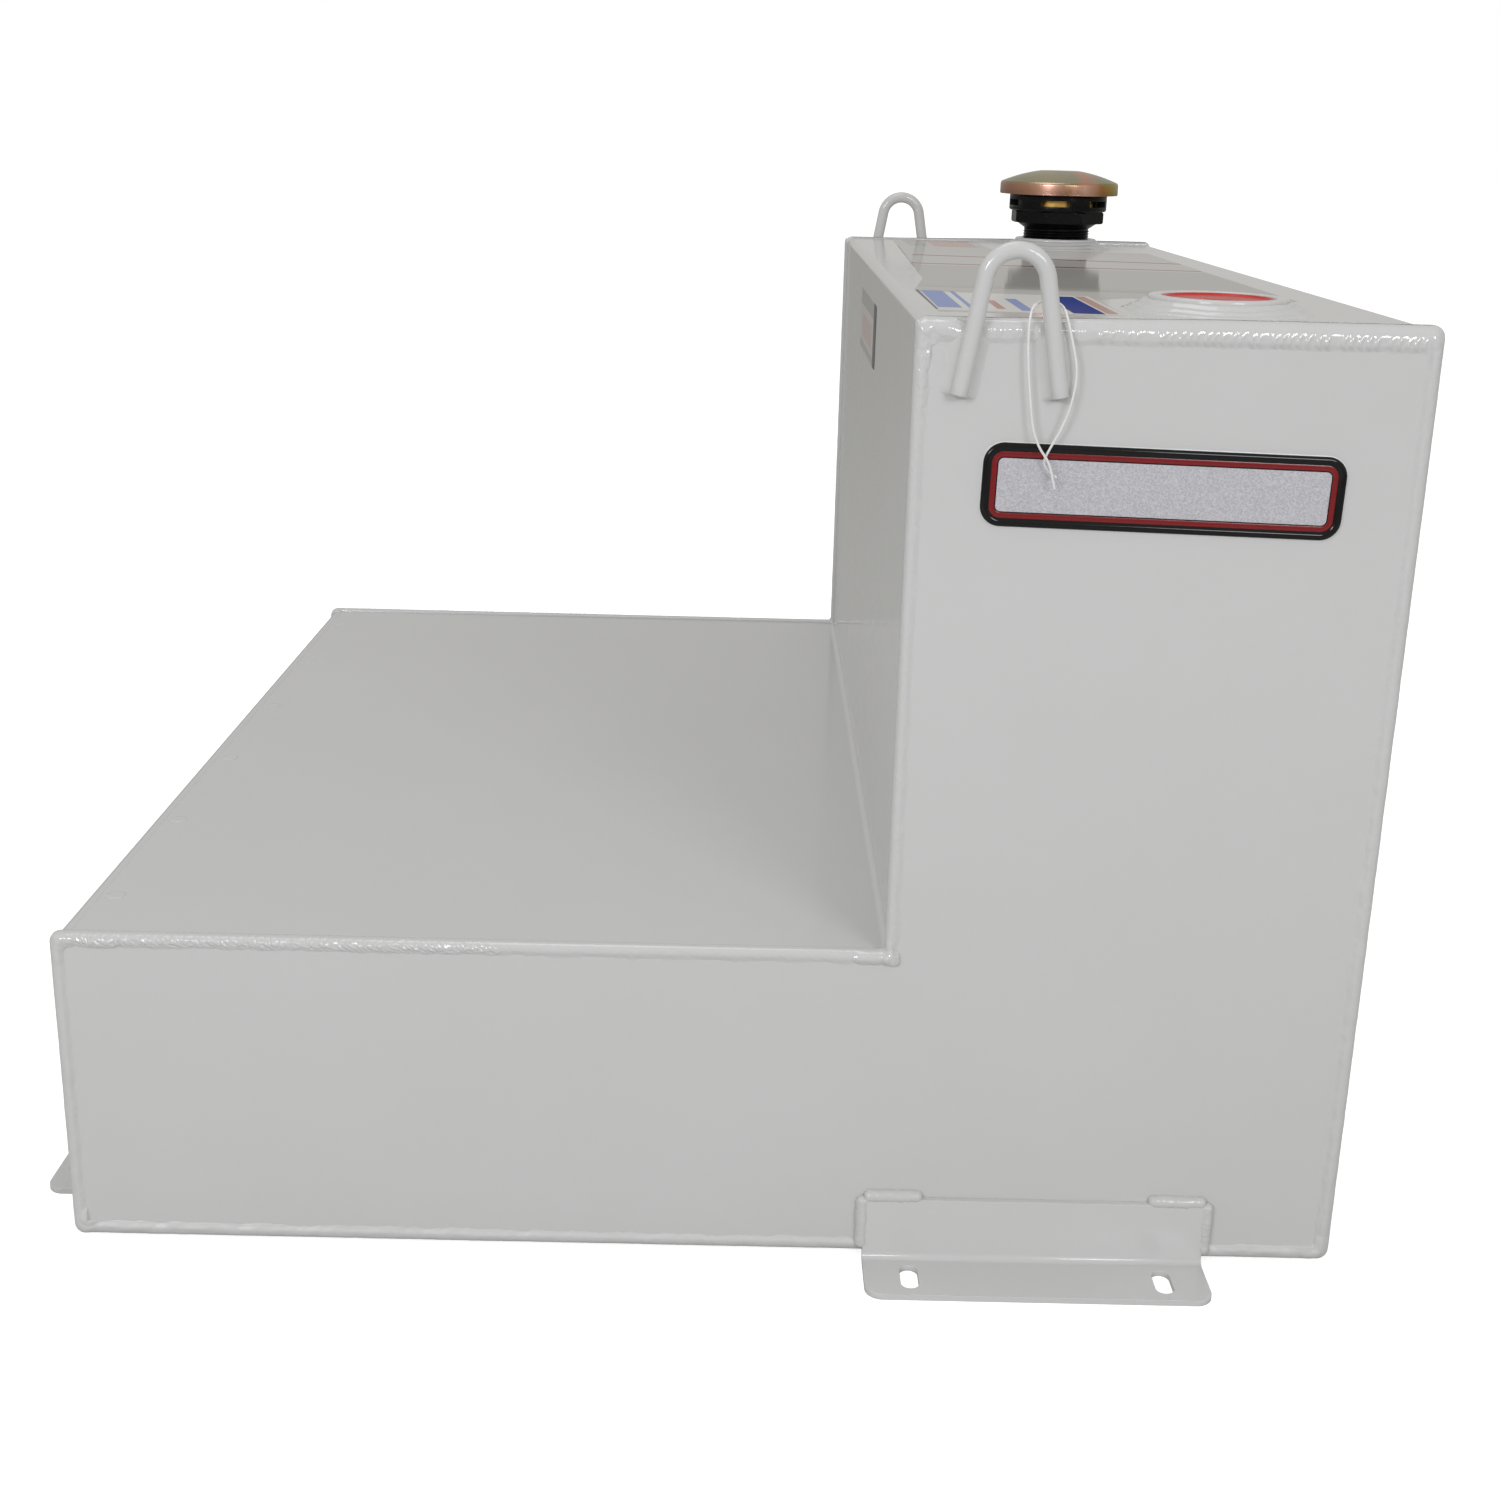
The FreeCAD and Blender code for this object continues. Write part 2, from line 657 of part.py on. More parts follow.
def dome(radius, rim, crown, edge_round):
    """Solid dome: upright side, rounded shoulder, shallow arc and a flat crown."""
    x, y, low = bung_x, fill_y, skirt_z
    shoulder = V(x + radius - edge_round, y, rim)
    side_top = V(x + radius, y, rim - edge_round)
    slant = math.sqrt(0.5)
    shoulder_mid = V(x + radius - edge_round * (1 - slant), y, rim - edge_round * (1 - slant))
    flat_edge = V(x + cap_crown_radius, y, crown)
    half = V((shoulder.x + flat_edge.x) / 2, y, (rim + crown) / 2 + cap_bow)
    edges = [Part.LineSegment(V(x, y, low), V(x + radius, y, low)).toShape(),
             Part.LineSegment(V(x + radius, y, low), side_top).toShape(),
             Part.Arc(side_top, shoulder_mid, shoulder).toShape(),
             Part.Arc(shoulder, half, flat_edge).toShape(),
             Part.LineSegment(flat_edge, V(x, y, crown)).toShape(),
             Part.LineSegment(V(x, y, crown), V(x, y, low)).toShape()]
    return Part.Face(Part.Wire(edges)).revolve(V(x, y, 0), UP, 360)


def vent_valve():
    """Rubber umbrella valve held in the middle of the bayonet base."""
    low = base_z - base_tube_drop
    high = low + base_thick
    stem = valve_stem - cap_fit
    return turned([(0, low - valve_dome_height), (valve_shoulder, low - valve_shoulder_height),
                   (valve_dome, low - valve_lip), (valve_dome, low), (stem, low), (stem, high),
                   (valve_bulb, high), (valve_bulb, high + valve_bulb_height),
                   (valve_tip, high + valve_tip_height), (0, high + valve_tip_height)], bung_x, fill_y)


# Red plug

def shipping_plug():
    """Push-in plastic plug: dished disc on a hollow, slightly tapered stem."""
    seat = ring_z - plug_seat_depth
    top = seat + plug_disc_thick
    stem = pump_thread_radius - plug_stem_clear
    foot = seat - plug_stem_length
    floor_low = seat - plug_wall + plug_disc_thick - plug_dish_depth
    return turned([(0, floor_low), (stem - plug_wall, floor_low), (stem - plug_wall - plug_stem_taper, foot),
                   (stem - plug_stem_taper, foot), (stem, seat), (plug_disc_radius, seat),
                   (plug_disc_radius, top - plug_edge), (plug_disc_radius - plug_edge, top),
                   (plug_disc_radius - plug_rim, top),
                   (plug_disc_radius - plug_rim - plug_dish_slope, top - plug_dish_depth),
                   (0, top - plug_dish_depth)], bung_x, pump_y)


# Lifting loops

def loop_path():
    """Centre line of the bent bar: leg, crown, leg."""
    y = near_y - loop_bar_radius
    lean = math.radians(loop_splay)
    crown_z = top_z + loop_rise
    centre_z = crown_z - loop_bend_radius
    dx = loop_bend_radius * math.cos(lean)
    dz = loop_bend_radius * math.sin(lean)
    foot_z = top_z - loop_drop
    foot_dx = dx + (centre_z + dz - foot_z) * math.tan(lean)
    left = V(loop_x - dx, y, centre_z + dz)
    right = V(loop_x + dx, y, centre_z + dz)
    return V(loop_x - foot_dx, y, foot_z), left, V(loop_x, y, crown_z), right, V(loop_x + foot_dx, y, foot_z)


def lifting_loop():
    """Round bar bent to a splayed U."""
    foot_a, left, crown, right, foot_b = loop_path()
    path = Part.Wire([Part.LineSegment(foot_a, left).toShape(),
                      Part.Arc(left, crown, right).toShape(),
                      Part.LineSegment(right, foot_b).toShape()])
    section = Part.Wire(Part.Circle(foot_a, left - foot_a, loop_bar_radius).toShape())
    return path.makePipeShell([section], True, True)


def loop_leg(side):
    """Straight stretch of one leg, as a rod."""
    foot_a, left, crown, right, foot_b = loop_path()
    foot, top = (foot_a, left) if side < 0 else (foot_b, right)
    return Part.makeCylinder(loop_bar_radius, (top - foot).Length, foot, top - foot)


def loop_welds(bead):
    """Pillow-shaped weld round the foot of each leg, stopping at the end plate's bead."""
    welds = []
    foot_a, left, crown, right, foot_b = loop_path()
    for side, foot in ((-1, foot_a), (1, foot_b)):
        half = loop_weld_width / 2
        low = V(foot.x, near_y, foot.z - loop_weld_below + half)
        high = V(foot.x, near_y, foot.z - loop_weld_below + loop_weld_height - half + bead_proud_face)
        outline = [Part.Arc(low + V(half, 0, 0), low + V(0, 0, -half), low + V(-half, 0, 0)).toShape(),
                   Part.LineSegment(low + V(-half, 0, 0), high + V(-half, 0, 0)).toShape(),
                   Part.Arc(high + V(-half, 0, 0), high + V(0, 0, half), high + V(half, 0, 0)).toShape(),
                   Part.LineSegment(high + V(half, 0, 0), low + V(half, 0, 0)).toShape()]
        pad = Part.Face(Part.Wire(outline)).extrude(V(0, -loop_weld_proud, 0))
        face_y = near_y - loop_weld_proud
        pad = pad.makeFillet(loop_weld_round, edges_at(pad, lambda p: abs(p.y - face_y) < touch))
        pad.rotate(foot, V(0, 1, 0), side * -loop_splay)
        pad = pad.cut(loop_leg(side))
        welds.append(biggest(pad.cut(bead)))
    return Part.makeCompound(welds)


def biggest(shape):
    """The largest solid of a cut shape."""
    return max(shape.Solids, key=lambda s: s.Volume)


# Brackets

def bracket(flange, slot_length, slot_reach):
    """Formed angle against a wall at Y = 0, its flange along -Y and its length along X."""
    path = [V(0, 0, bracket_leg), V(0, 0, 0), V(-flange, 0, 0)]
    face = folded_strip(path[::-1], bracket_plate, bracket_bend)
    body = face.extrude(V(0, bracket_length, 0))
    body.rotate(V(0, 0, 0), UP, 90)
    body.translate(V(bracket_length / 2, 0, 0))
    tips = edges_at(body, lambda p: abs(p.y + flange) < touch and abs(abs(p.x) - bracket_length / 2) < touch)
    body = body.makeFillet(bracket_corner, tips)
    half = (slot_length - 2 * slot_half_width) / 2
    for side in (-1, 1):
        x = side * slot_from_middle
        slot = Part.makeBox(2 * slot_half_width, 2 * half, 4 * bracket_plate,
                            V(x - slot_half_width, -slot_reach - half, -bracket_plate))
        for y in (-slot_reach - half, -slot_reach + half):
            slot = slot.fuse(Part.makeCylinder(slot_half_width, 4 * bracket_plate, V(x, y, -bracket_plate)))
        body = body.cut(slot)
    return body


def bracket_beads():
    """Two short beads along the leg's top and one down each side, same frame as the bracket."""
    half = bracket_length / 2
    beads = []
    for side in (-1, 1):
        x_start = -half if side < 0 else half - bracket_top_bead
        beads.append(bead_bar(V(x_start, 0, bracket_leg), V(1, 0, 0), UP, bracket_top_bead))
        foot = V(side * half, 0, floor_gap + bracket_bead_trim)
        beads.append(bead_bar(foot, UP, V(side, 0, 0), bracket_leg - foot.z))
    return beads


def bead_bar(start, along, outward, length):
    """Fillet bead between the bracket leg's edge and the wall."""
    size = bracket_bead
    leg = V(0, -bracket_plate, 0)
    wall = outward * size
    bulge = (outward * size + leg) * bead_bulge
    edges = [Part.Arc(start + leg, start + bulge, start + wall).toShape(),
             Part.LineSegment(start + wall, start).toShape(),
             Part.LineSegment(start, start + leg).toShape()]
    return Part.Face(Part.Wire(edges)).extrude(along * length)


def bracket_leg_space():
    """Room that the end bracket's upright leg takes in the end plate's bead."""
    return Part.makeBox(bracket_length, bracket_plate + past, bracket_leg,
                        V(end_bracket_x - bracket_length / 2, near_y - bracket_plate - past, 0))


def end_bracket():
    """Bracket on the near end plate."""
    body = bracket(end_flange, end_slot_length, end_slot_reach)
    body.translate(V(end_bracket_x, near_y, 0))
    return body


def tail_bracket():
    """Bracket on the tail wall, towards the near end."""
    return on_tail_wall(bracket(tail_flange, tail_slot_length, tail_slot_reach))


def on_tail_wall(shape):
    """Turn a piece made against Y = 0 so that it lies on the tail wall."""
    turned_piece = shape.copy()
    turned_piece.rotate(V(0, 0, 0), UP, -90)
    turned_piece.translate(V(tail_x, near_y + tail_bracket_from_end + bracket_length / 2, 0))
    return turned_piece


def bracket_welds(end_weld):
    """All the beads that hold the four brackets; those on the ends stop at the plate's bead."""
    beads = []
    for bead in bracket_beads():
        near = bead.copy()
        near.translate(V(end_bracket_x, near_y, 0))
        near = biggest(near.cut(end_weld))
        tail = on_tail_wall(bead)
        beads += [near, mirrored_end(near), tail, mirrored_end(tail)]
    return Part.makeCompound(beads)


# Tag tie

def tie_points():
    """Route of the strap: tail, knot, up the tail-side strand, round the leg and back down."""
    x, y, z = loop_x, near_y, top_z
    return [V(x + 27.8, y - 6.6, z - 90.0), V(x + 25.9, y - 6.9, z - 82.5), V(x + 23.2, y - 7.3, z - 74.5),
            V(x + 17.6, y - 7.0, z - 67.5), V(x + 13.6, y - 6.4, z - 57.5), V(x + 11.6, y - 6.0, z - 44.0),
            V(x + 9.6, y - 5.8, z - 29.0), V(x + 8.2, y - 5.8, z - 13.5), V(x + 8.0, y - 5.2, z + 0.5),
            V(x + 10.2, y - 1.6, z + 9.4), V(x + 19.0, y + 1.8, z + 10.6), V(x + 26.6, y - 1.2, z + 9.2),
            V(x + 29.6, y - 5.0, z - 0.5), V(x + 32.6, y - 5.8, z - 12.0), V(x + 35.9, y - 6.2, z - 25.5),
            V(x + 34.6, y - 6.4, z - 40.5), V(x + 30.4, y - 6.0, z - 55.0), V(x + 24.0, y - 5.0, z - 68.0),
            V(x + 20.6, y - 4.8, z - 75.5), V(x + 24.2, y - 4.8, z - 81.0), V(x + 28.6, y - 5.0, z - 84.0)]


def tag_tie():
    """Tube along the strap's route: straight runs joined by tangent arcs."""
    points = tie_points()
    edges = []
    radii = []
    last = points[0]
    for before, corner, after in zip(points, points[1:], points[2:]):
        run = min((corner - before).Length, (after - corner).Length)
        half = (before - corner).getAngle(after - corner) / 2
        radius = 0.45 * run * math.tan(half)
        start, middle, end = corner_arc(before, corner, after, radius)
        edges.append(Part.LineSegment(last, start).toShape())
        edges.append(Part.Arc(start, middle, end).toShape())
        radii.append(radius)
        last = end
    edges.append(Part.LineSegment(last, points[-1]).toShape())
    path = Part.Wire(edges)
    section = Part.Wire(Part.Circle(points[0], points[1] - points[0], tie_radius).toShape())
    strap = path.makePipeShell([section], True, True)
    volume = math.pi * tie_radius ** 2 * path.Length
    print("tie length %.1f, radii %s" % (path.Length, ", ".join("%.1f" % r for r in radii)))
    print("tie volume %.1f against %.1f" % (strap.Volume, volume))
    return strap


def pieces():
    """Every node's name with its shape."""
    plate = end_plate()
    seam = seam_weld()
    bead = end_bead(seam)
    loop = lifting_loop()
    leg_welds = loop_welds(bead)
    near_bracket = end_bracket()
    near_tail_bracket = tail_bracket()
    bay_length = (tank_length - 2 * sheet) / bay_count
    near_baffle = baffle(near_y + sheet + bay_length)
    nodes = {
        "tank_wrap": tank_wrap(),
        "seam_weld": seam,
        "plug_welds": plug_welds(),
        "near_end_plate": plate,
        "far_end_plate": mirrored_end(plate),
        "near_end_weld": bead,
        "far_end_weld": mirrored_end(bead),
        "near_baffle": near_baffle,
        "far_baffle": mirrored_end(near_baffle),
        "fill_bung": bung(fill_y, fill_hub_radius, fill_thread_radius),
        "pump_bung": bung(pump_y, pump_hub_radius, pump_thread_radius, plug_seat_radius),
        "fill_bung_weld": bung_weld(fill_y, fill_hub_radius, fill_weld_radius),
        "pump_bung_weld": bung_weld(pump_y, pump_hub_radius, pump_weld_radius),
        "near_lifting_loop": loop,
        "far_lifting_loop": mirrored_end(loop),
        "near_loop_welds": leg_welds,
        "far_loop_welds": mirrored_end(leg_welds),
        "near_bracket": near_bracket,
        "far_bracket": mirrored_end(near_bracket),
        "tail_bracket_near": near_tail_bracket,
        "tail_bracket_far": mirrored_end(near_tail_bracket),
        "bracket_welds": bracket_welds(bead),
        "adapter_body": adapter_body(),
        "vent_ring": vent_ring(),
        "neck_sleeve": neck_sleeve(),
        "cap_gasket": cap_gasket(),
        "gasket_plate": gasket_plate(),
        "cap_spring": cap_spring(),
        "cap_base": cap_base(),
        "cap_shell": cap_shell(),
        "vent_valve": vent_valve(),
        "shipping_plug": shipping_plug(),
        "tag_tie": tag_tie(),
    }
    return nodes


def main():
    """Write one STEP file for each piece."""
    os.makedirs("parts", exist_ok=True)
    for name, shape in pieces().items():
        if not shape.isValid():
            raise ValueError("invalid shape: " + name)
        shape.exportStep("parts/" + name + ".step")
        box = shape.BoundBox
        print("%-20s solids %d  x %.1f %.1f  y %.1f %.1f  z %.1f %.1f" % (
            name, len(shape.Solids), box.XMin, box.XMax, box.YMin, box.YMax, box.ZMin, box.ZMax))


main()
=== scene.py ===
"""Looks of the white L-shaped transfer tank: finishes, weld detail, fittings, labels and studio.

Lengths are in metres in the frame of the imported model: X from the tail side to the cab side,
Y from the near end plate to the far one, Z up from the bed that the brackets stand on.
"""
import logging
import math
from collections.abc import Callable, Sequence
from dataclasses import dataclass, replace
from enum import Enum

import bmesh
import bpy
from bpy.types import ColorRamp, ID, Material, Mesh, Modifier, NodeSocket, NodeTree, Object
from mathutils import Matrix, Vector, noise


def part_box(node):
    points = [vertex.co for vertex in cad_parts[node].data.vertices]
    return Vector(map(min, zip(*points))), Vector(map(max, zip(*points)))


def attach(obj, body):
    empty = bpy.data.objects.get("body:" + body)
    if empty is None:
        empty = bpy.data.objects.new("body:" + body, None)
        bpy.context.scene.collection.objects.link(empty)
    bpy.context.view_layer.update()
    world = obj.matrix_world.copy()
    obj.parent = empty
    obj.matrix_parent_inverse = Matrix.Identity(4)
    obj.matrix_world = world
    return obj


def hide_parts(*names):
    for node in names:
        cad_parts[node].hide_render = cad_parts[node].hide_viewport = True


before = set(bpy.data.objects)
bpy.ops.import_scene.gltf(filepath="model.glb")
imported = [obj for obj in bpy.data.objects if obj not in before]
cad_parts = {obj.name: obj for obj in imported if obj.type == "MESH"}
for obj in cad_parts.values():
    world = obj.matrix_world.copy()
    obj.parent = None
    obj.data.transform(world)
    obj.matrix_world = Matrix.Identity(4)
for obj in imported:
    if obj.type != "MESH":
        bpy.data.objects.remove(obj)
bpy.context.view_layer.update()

MM = 0.001

log = logging.getLogger("tank")

Pair = tuple[float, float]
Colour = tuple[float, float, float, float]
Place = tuple[float, float, float]
Extras = tuple[tuple[str, object], ...]

WHITE = "white_powder_coat"
BLACK = "black_plastic"
ZINC = "yellow_zinc"
SHARP_EDGE = math.radians(40)
PORT_X = 309.25 * MM
PORT_Y = 322.0 * MM
FILL_AXIS = (PORT_X, PORT_Y)
RING_RISE = 8.6 * MM


# Node trees

class Socket:
    """A node's output that takes part in sums; each sum adds its Math node."""

    def __init__(self, graph: "Graph", link: NodeSocket) -> None:
        """Remember the output and the tree that new nodes go into."""
        self.graph = graph
        self.link = link

    def maths(self, operation: str, first: "Socket | float",
              second: "Socket | float" = 0.0) -> "Socket":
        """Result of one Math node."""
        return self.graph.node("ShaderNodeMath", {"operation": operation}, {0: first, 1: second})

    def __add__(self, other: "Socket | float") -> "Socket":
        """Sum with a socket or a number."""
        return self.maths("ADD", self, other)

    def __radd__(self, other: float) -> "Socket":
        """Sum with a number on the left."""
        return self.maths("ADD", other, self)

    def __sub__(self, other: "Socket | float") -> "Socket":
        """Difference with a socket or a number."""
        return self.maths("SUBTRACT", self, other)

    def __rsub__(self, other: float) -> "Socket":
        """Difference from a number on the left."""
        return self.maths("SUBTRACT", other, self)

    def __mul__(self, other: "Socket | float") -> "Socket":
        """Product with a socket or a number."""
        return self.maths("MULTIPLY", self, other)

    def __rmul__(self, other: float) -> "Socket":
        """Product with a number on the left."""
        return self.maths("MULTIPLY", other, self)

    def __truediv__(self, other: "Socket | float") -> "Socket":
        """Quotient with a socket or a number."""
        return self.maths("DIVIDE", self, other)

    def __rtruediv__(self, other: float) -> "Socket":
        """Quotient of a number on the left."""
        return self.maths("DIVIDE", other, self)

    def __pow__(self, other: float) -> "Socket":
        """Power."""
        return self.maths("POWER", self, other)

    def fraction(self) -> "Socket":
        """The part after the decimal point."""
        return self.maths("FRACT", self)

    def above(self, edge: float, soft: float) -> "Socket":
        """Smooth step.

        Args:
            edge: Value at the middle of the step.
            soft: Half of the step's width.

        Returns:
            0 below the step and 1 above it.
        """
        settings = {"interpolation_type": "SMOOTHSTEP"}
        sockets = {"Value": self, "From Min": edge - soft, "From Max": edge + soft}
        return self.graph.node("ShaderNodeMapRange", settings, sockets)

    def between(self, low: float, high: float, soft: float) -> "Socket":
        """Soft-edged band that is 1 from low to high and 0 outside."""
        return self.above(low, soft) * (1.0 - self.above(high, soft))

    def sibling(self, output: int | str) -> "Socket":
        """Another output of the same node."""
        return Socket(self.graph, self.link.node.outputs[output])


class Graph:
    """A node tree that is filled through one method."""

    def __init__(self, tree: NodeTree) -> None:
        """Keep the tree."""
        self.tree = tree

    def node(self, kind: str, settings: dict | None = None, sockets: dict | None = None,
             output: int = 0) -> Socket:
        """Add a node.

        Args:
            kind: The node's type.
            settings: Its properties, set first; "stops" fills a colour ramp.
            sockets: Value or link for each input, by name or number.
            output: Which output is wanted.

        Returns:
            The wanted output.
        """
        made = self.tree.nodes.new(kind)
        for name, value in (settings or {}).items():
            if name == "stops":
                self.set_stops(made.color_ramp, value)
            else:
                setattr(made, name, value)
        for key, value in (sockets or {}).items():
            self.feed(made.inputs[key], value)
        return Socket(self, made.outputs[output] if made.outputs else None)

    def feed(self, target: NodeSocket, value: "Socket | object") -> None:
        """Link a socket to an input, or set the input's own value."""
        if isinstance(value, Socket):
            self.tree.links.new(value.link, target)
        else:
            target.default_value = value

    def set_stops(self, ramp: ColorRamp, stops: Sequence[tuple[float, Colour]]) -> None:
        """Give a colour ramp its stops.

        Args:
            ramp: The ramp.
            stops: Position and colour of each stop, in order.
        """
        while len(ramp.elements) < len(stops):
            ramp.elements.new(1.0)
        for element, (place, colour) in zip(ramp.elements, stops):
            element.position = place
            element.color = colour

    def noise(self, place: Socket, scale: float, detail: float = 2.0,
              seed: "Socket | float" = 0.0) -> Socket:
        """Noise near 0.5 at a place, with scale in features per metre and detail in octaves."""
        sockets = {"Vector": place, "W": seed, "Scale": scale, "Detail": detail}
        return self.node("ShaderNodeTexNoise", {"noise_dimensions": "4D"}, sockets)


class ShaderGraph(Graph):
    """Tree of one material."""

    def __init__(self, name: str) -> None:
        """Start an empty material.

        Args:
            name: Name of the material.
        """
        self.material = bpy.data.materials.new(name)
        self.material.use_nodes = True
        super().__init__(self.material.node_tree)
        self.tree.nodes.clear()

    def place(self) -> Socket:
        """Object coordinates, in metres."""
        return self.node("ShaderNodeTexCoord", output=3)

    def axes(self, place: Socket) -> tuple[Socket, Socket, Socket]:
        """X, Y and Z of a point."""
        split = self.node("ShaderNodeSeparateXYZ", sockets={0: place})
        return split, split.sibling(1), split.sibling(2)

    def mix(self, share: Socket, low: "Socket | Colour", high: "Socket | Colour") -> Socket:
        """Blend two colours; share 1 gives high."""
        return self.node("ShaderNodeMix", {"data_type": "RGBA"}, {0: share, 6: low, 7: high}, 2)

    def ramp(self, value: Socket, stops: Sequence[tuple[float, Colour]]) -> Socket:
        """Colour of a value along a ramp."""
        return self.node("ShaderNodeValToRGB", {"stops": stops}, {0: value})

    def bump(self, height: Socket, distance: float) -> Socket:
        """Surface relief from a height between 0 and 1."""
        return self.node("ShaderNodeBump", sockets={"Height": height, "Distance": distance})

    def close(self, sockets: dict) -> Material:
        """Feed the surface shader and the output.

        Args:
            sockets: Values and links of the Principled shader.

        Returns:
            The finished material.
        """
        shader = self.node("ShaderNodeBsdfPrincipled", sockets=sockets)
        self.node("ShaderNodeOutputMaterial", sockets={"Surface": shader})
        return self.material


class GeometryTree(Graph):
    """Geometry tree with named inputs; its last one is the finish."""

    def __init__(self, name: str) -> None:
        """Start a tree with one geometry in and one out.

        Args:
            name: Name of the tree.
        """
        super().__init__(bpy.data.node_groups.new(name, "GeometryNodeTree"))
        self.keys: dict[str, str] = {}
        self.tree.interface.new_socket("Geometry", in_out="OUTPUT", socket_type="NodeSocketGeometry")
        self.tree.interface.new_socket("Geometry", in_out="INPUT", socket_type="NodeSocketGeometry")
        self.entry = self.tree.nodes.new("NodeGroupInput")
        self.host = Socket(self, self.entry.outputs[0])

    def take(self, name: str, kind: str = "NodeSocketFloat") -> Socket:
        """Add a named input.

        Args:
            name: Name of the input.
            kind: Its socket type.

        Returns:
            The input's value.
        """
        made = self.tree.interface.new_socket(name, in_out="INPUT", socket_type=kind)
        self.keys[name] = made.identifier
        return Socket(self, self.entry.outputs[name])

    def attribute(self, name: str) -> Socket:
        """Float stored on the host's points."""
        return self.node("GeometryNodeInputNamedAttribute", {"data_type": "FLOAT"}, {"Name": name})

    def close(self, shape: Socket) -> None:
        """End in Realize Instances and Set Material.

        Args:
            shape: Geometry that the tree has made.
        """
        whole = self.node("GeometryNodeRealizeInstances", sockets={0: shape})
        finish = self.take("Finish", "NodeSocketMaterial")
        dressed = self.node("GeometryNodeSetMaterial", sockets={"Geometry": whole, "Material": finish})
        self.node("NodeGroupOutput", sockets={0: dressed})

    def bake(self, name: str, host: Mesh, values: dict) -> Object:
        """Run the tree on a host mesh.

        Args:
            name: Name of the new piece.
            host: Mesh that the tree works on.
            values: Value of each named input.

        Returns:
            Object with the plain result and no modifier.
        """
        piece = Build.object(name, host)
        modifier = piece.modifiers.new("shape", "NODES")
        modifier.node_group = self.tree
        for key, value in values.items():
            modifier[self.keys[key]] = value
        Build.settle(piece, modifier)
        return piece


# Finishes

class Finish:
    """A surface finish; its material is made once, when it is first asked for."""

    name: str
    made: dict[str, Material] = {}

    def material(self) -> Material:
        """The finish's material."""
        if self.name not in Finish.made:
            Finish.made[self.name] = self.dress(ShaderGraph(self.name))
        return Finish.made[self.name]

    def dress(self, shader: ShaderGraph) -> Material:
        """Fill the material's tree."""
        raise NotImplementedError


@dataclass(frozen=True)
class PowderCoat(Finish):
    """Gloss white powder coat with a faint orange peel, over a plain or a welded surface.

    Attributes:
        name: Name of the material.
        pale: Its lighter tone.
        dull: Its darker tone.
        roughness: Least roughness.
        shine: Specular level.
        matt_below: Height under which a bead turns matt, where it is above zero.
        matt: Roughness that is added there.
        tone_scale: Changes of tone per metre.
        peel_scale: Dimples of the peel per metre.
        peel_height: Their depth.
    """

    name: str = WHITE
    pale: Colour = (0.615, 0.615, 0.61, 1.0)
    dull: Colour = (0.59, 0.59, 0.58, 1.0)
    roughness: float = 0.09
    shine: float = 0.5
    matt_below: float = 0.0
    matt: float = 0.34
    tone_scale: float = 9.0
    peel_scale: float = 330.0
    peel_height: float = 0.03 * MM

    def dress(self, shader: ShaderGraph) -> Material:
        """White with slow changes of tone and gloss, and orange peel in the relief.

        Args:
            shader: The material's empty tree.

        Returns:
            The material.
        """
        place = shader.place()
        tone = shader.noise(place, self.tone_scale, 3.0)
        roughness = self.roughness + 0.05 * tone
        if self.matt_below > 0:
            height = shader.axes(place)[2]
            roughness = roughness + self.matt * (1.0 - height.above(self.matt_below, 4.0 * MM))
        return shader.close({
            "Base Color": shader.mix(tone, self.dull, self.pale),
            "Roughness": roughness,
            "Normal": shader.bump(shader.noise(place, self.peel_scale, 1.5), self.peel_height),
            "Specular IOR Level": self.shine,
        })


@dataclass(frozen=True)
class BlackPlastic(Finish):
    """Moulded black plastic, satin, with fine grain and a little dust."""

    name: str = BLACK
    colour: Colour = (0.003, 0.003, 0.0033, 1.0)
    dust: Colour = (0.04, 0.04, 0.042, 1.0)
    gloss: float = 0.14

    def dress(self, shader: ShaderGraph) -> Material:
        """Near black with a fine moulded grain and sparse pale specks.

        Args:
            shader: The material's empty tree.

        Returns:
            The material.
        """
        place = shader.place()
        specks = shader.noise(place, 1500.0, 0.0).above(0.74, 0.03)
        grain = shader.noise(place, 2200.0, 1.0, 2.0)
        return shader.close({
            "Base Color": shader.mix(specks, self.colour, self.dust),
            "Roughness": 0.20 + 0.12 * shader.noise(place, 60.0, 2.0),
            "Normal": shader.bump(grain, 0.012 * MM),
            "Specular IOR Level": self.gloss,
        })


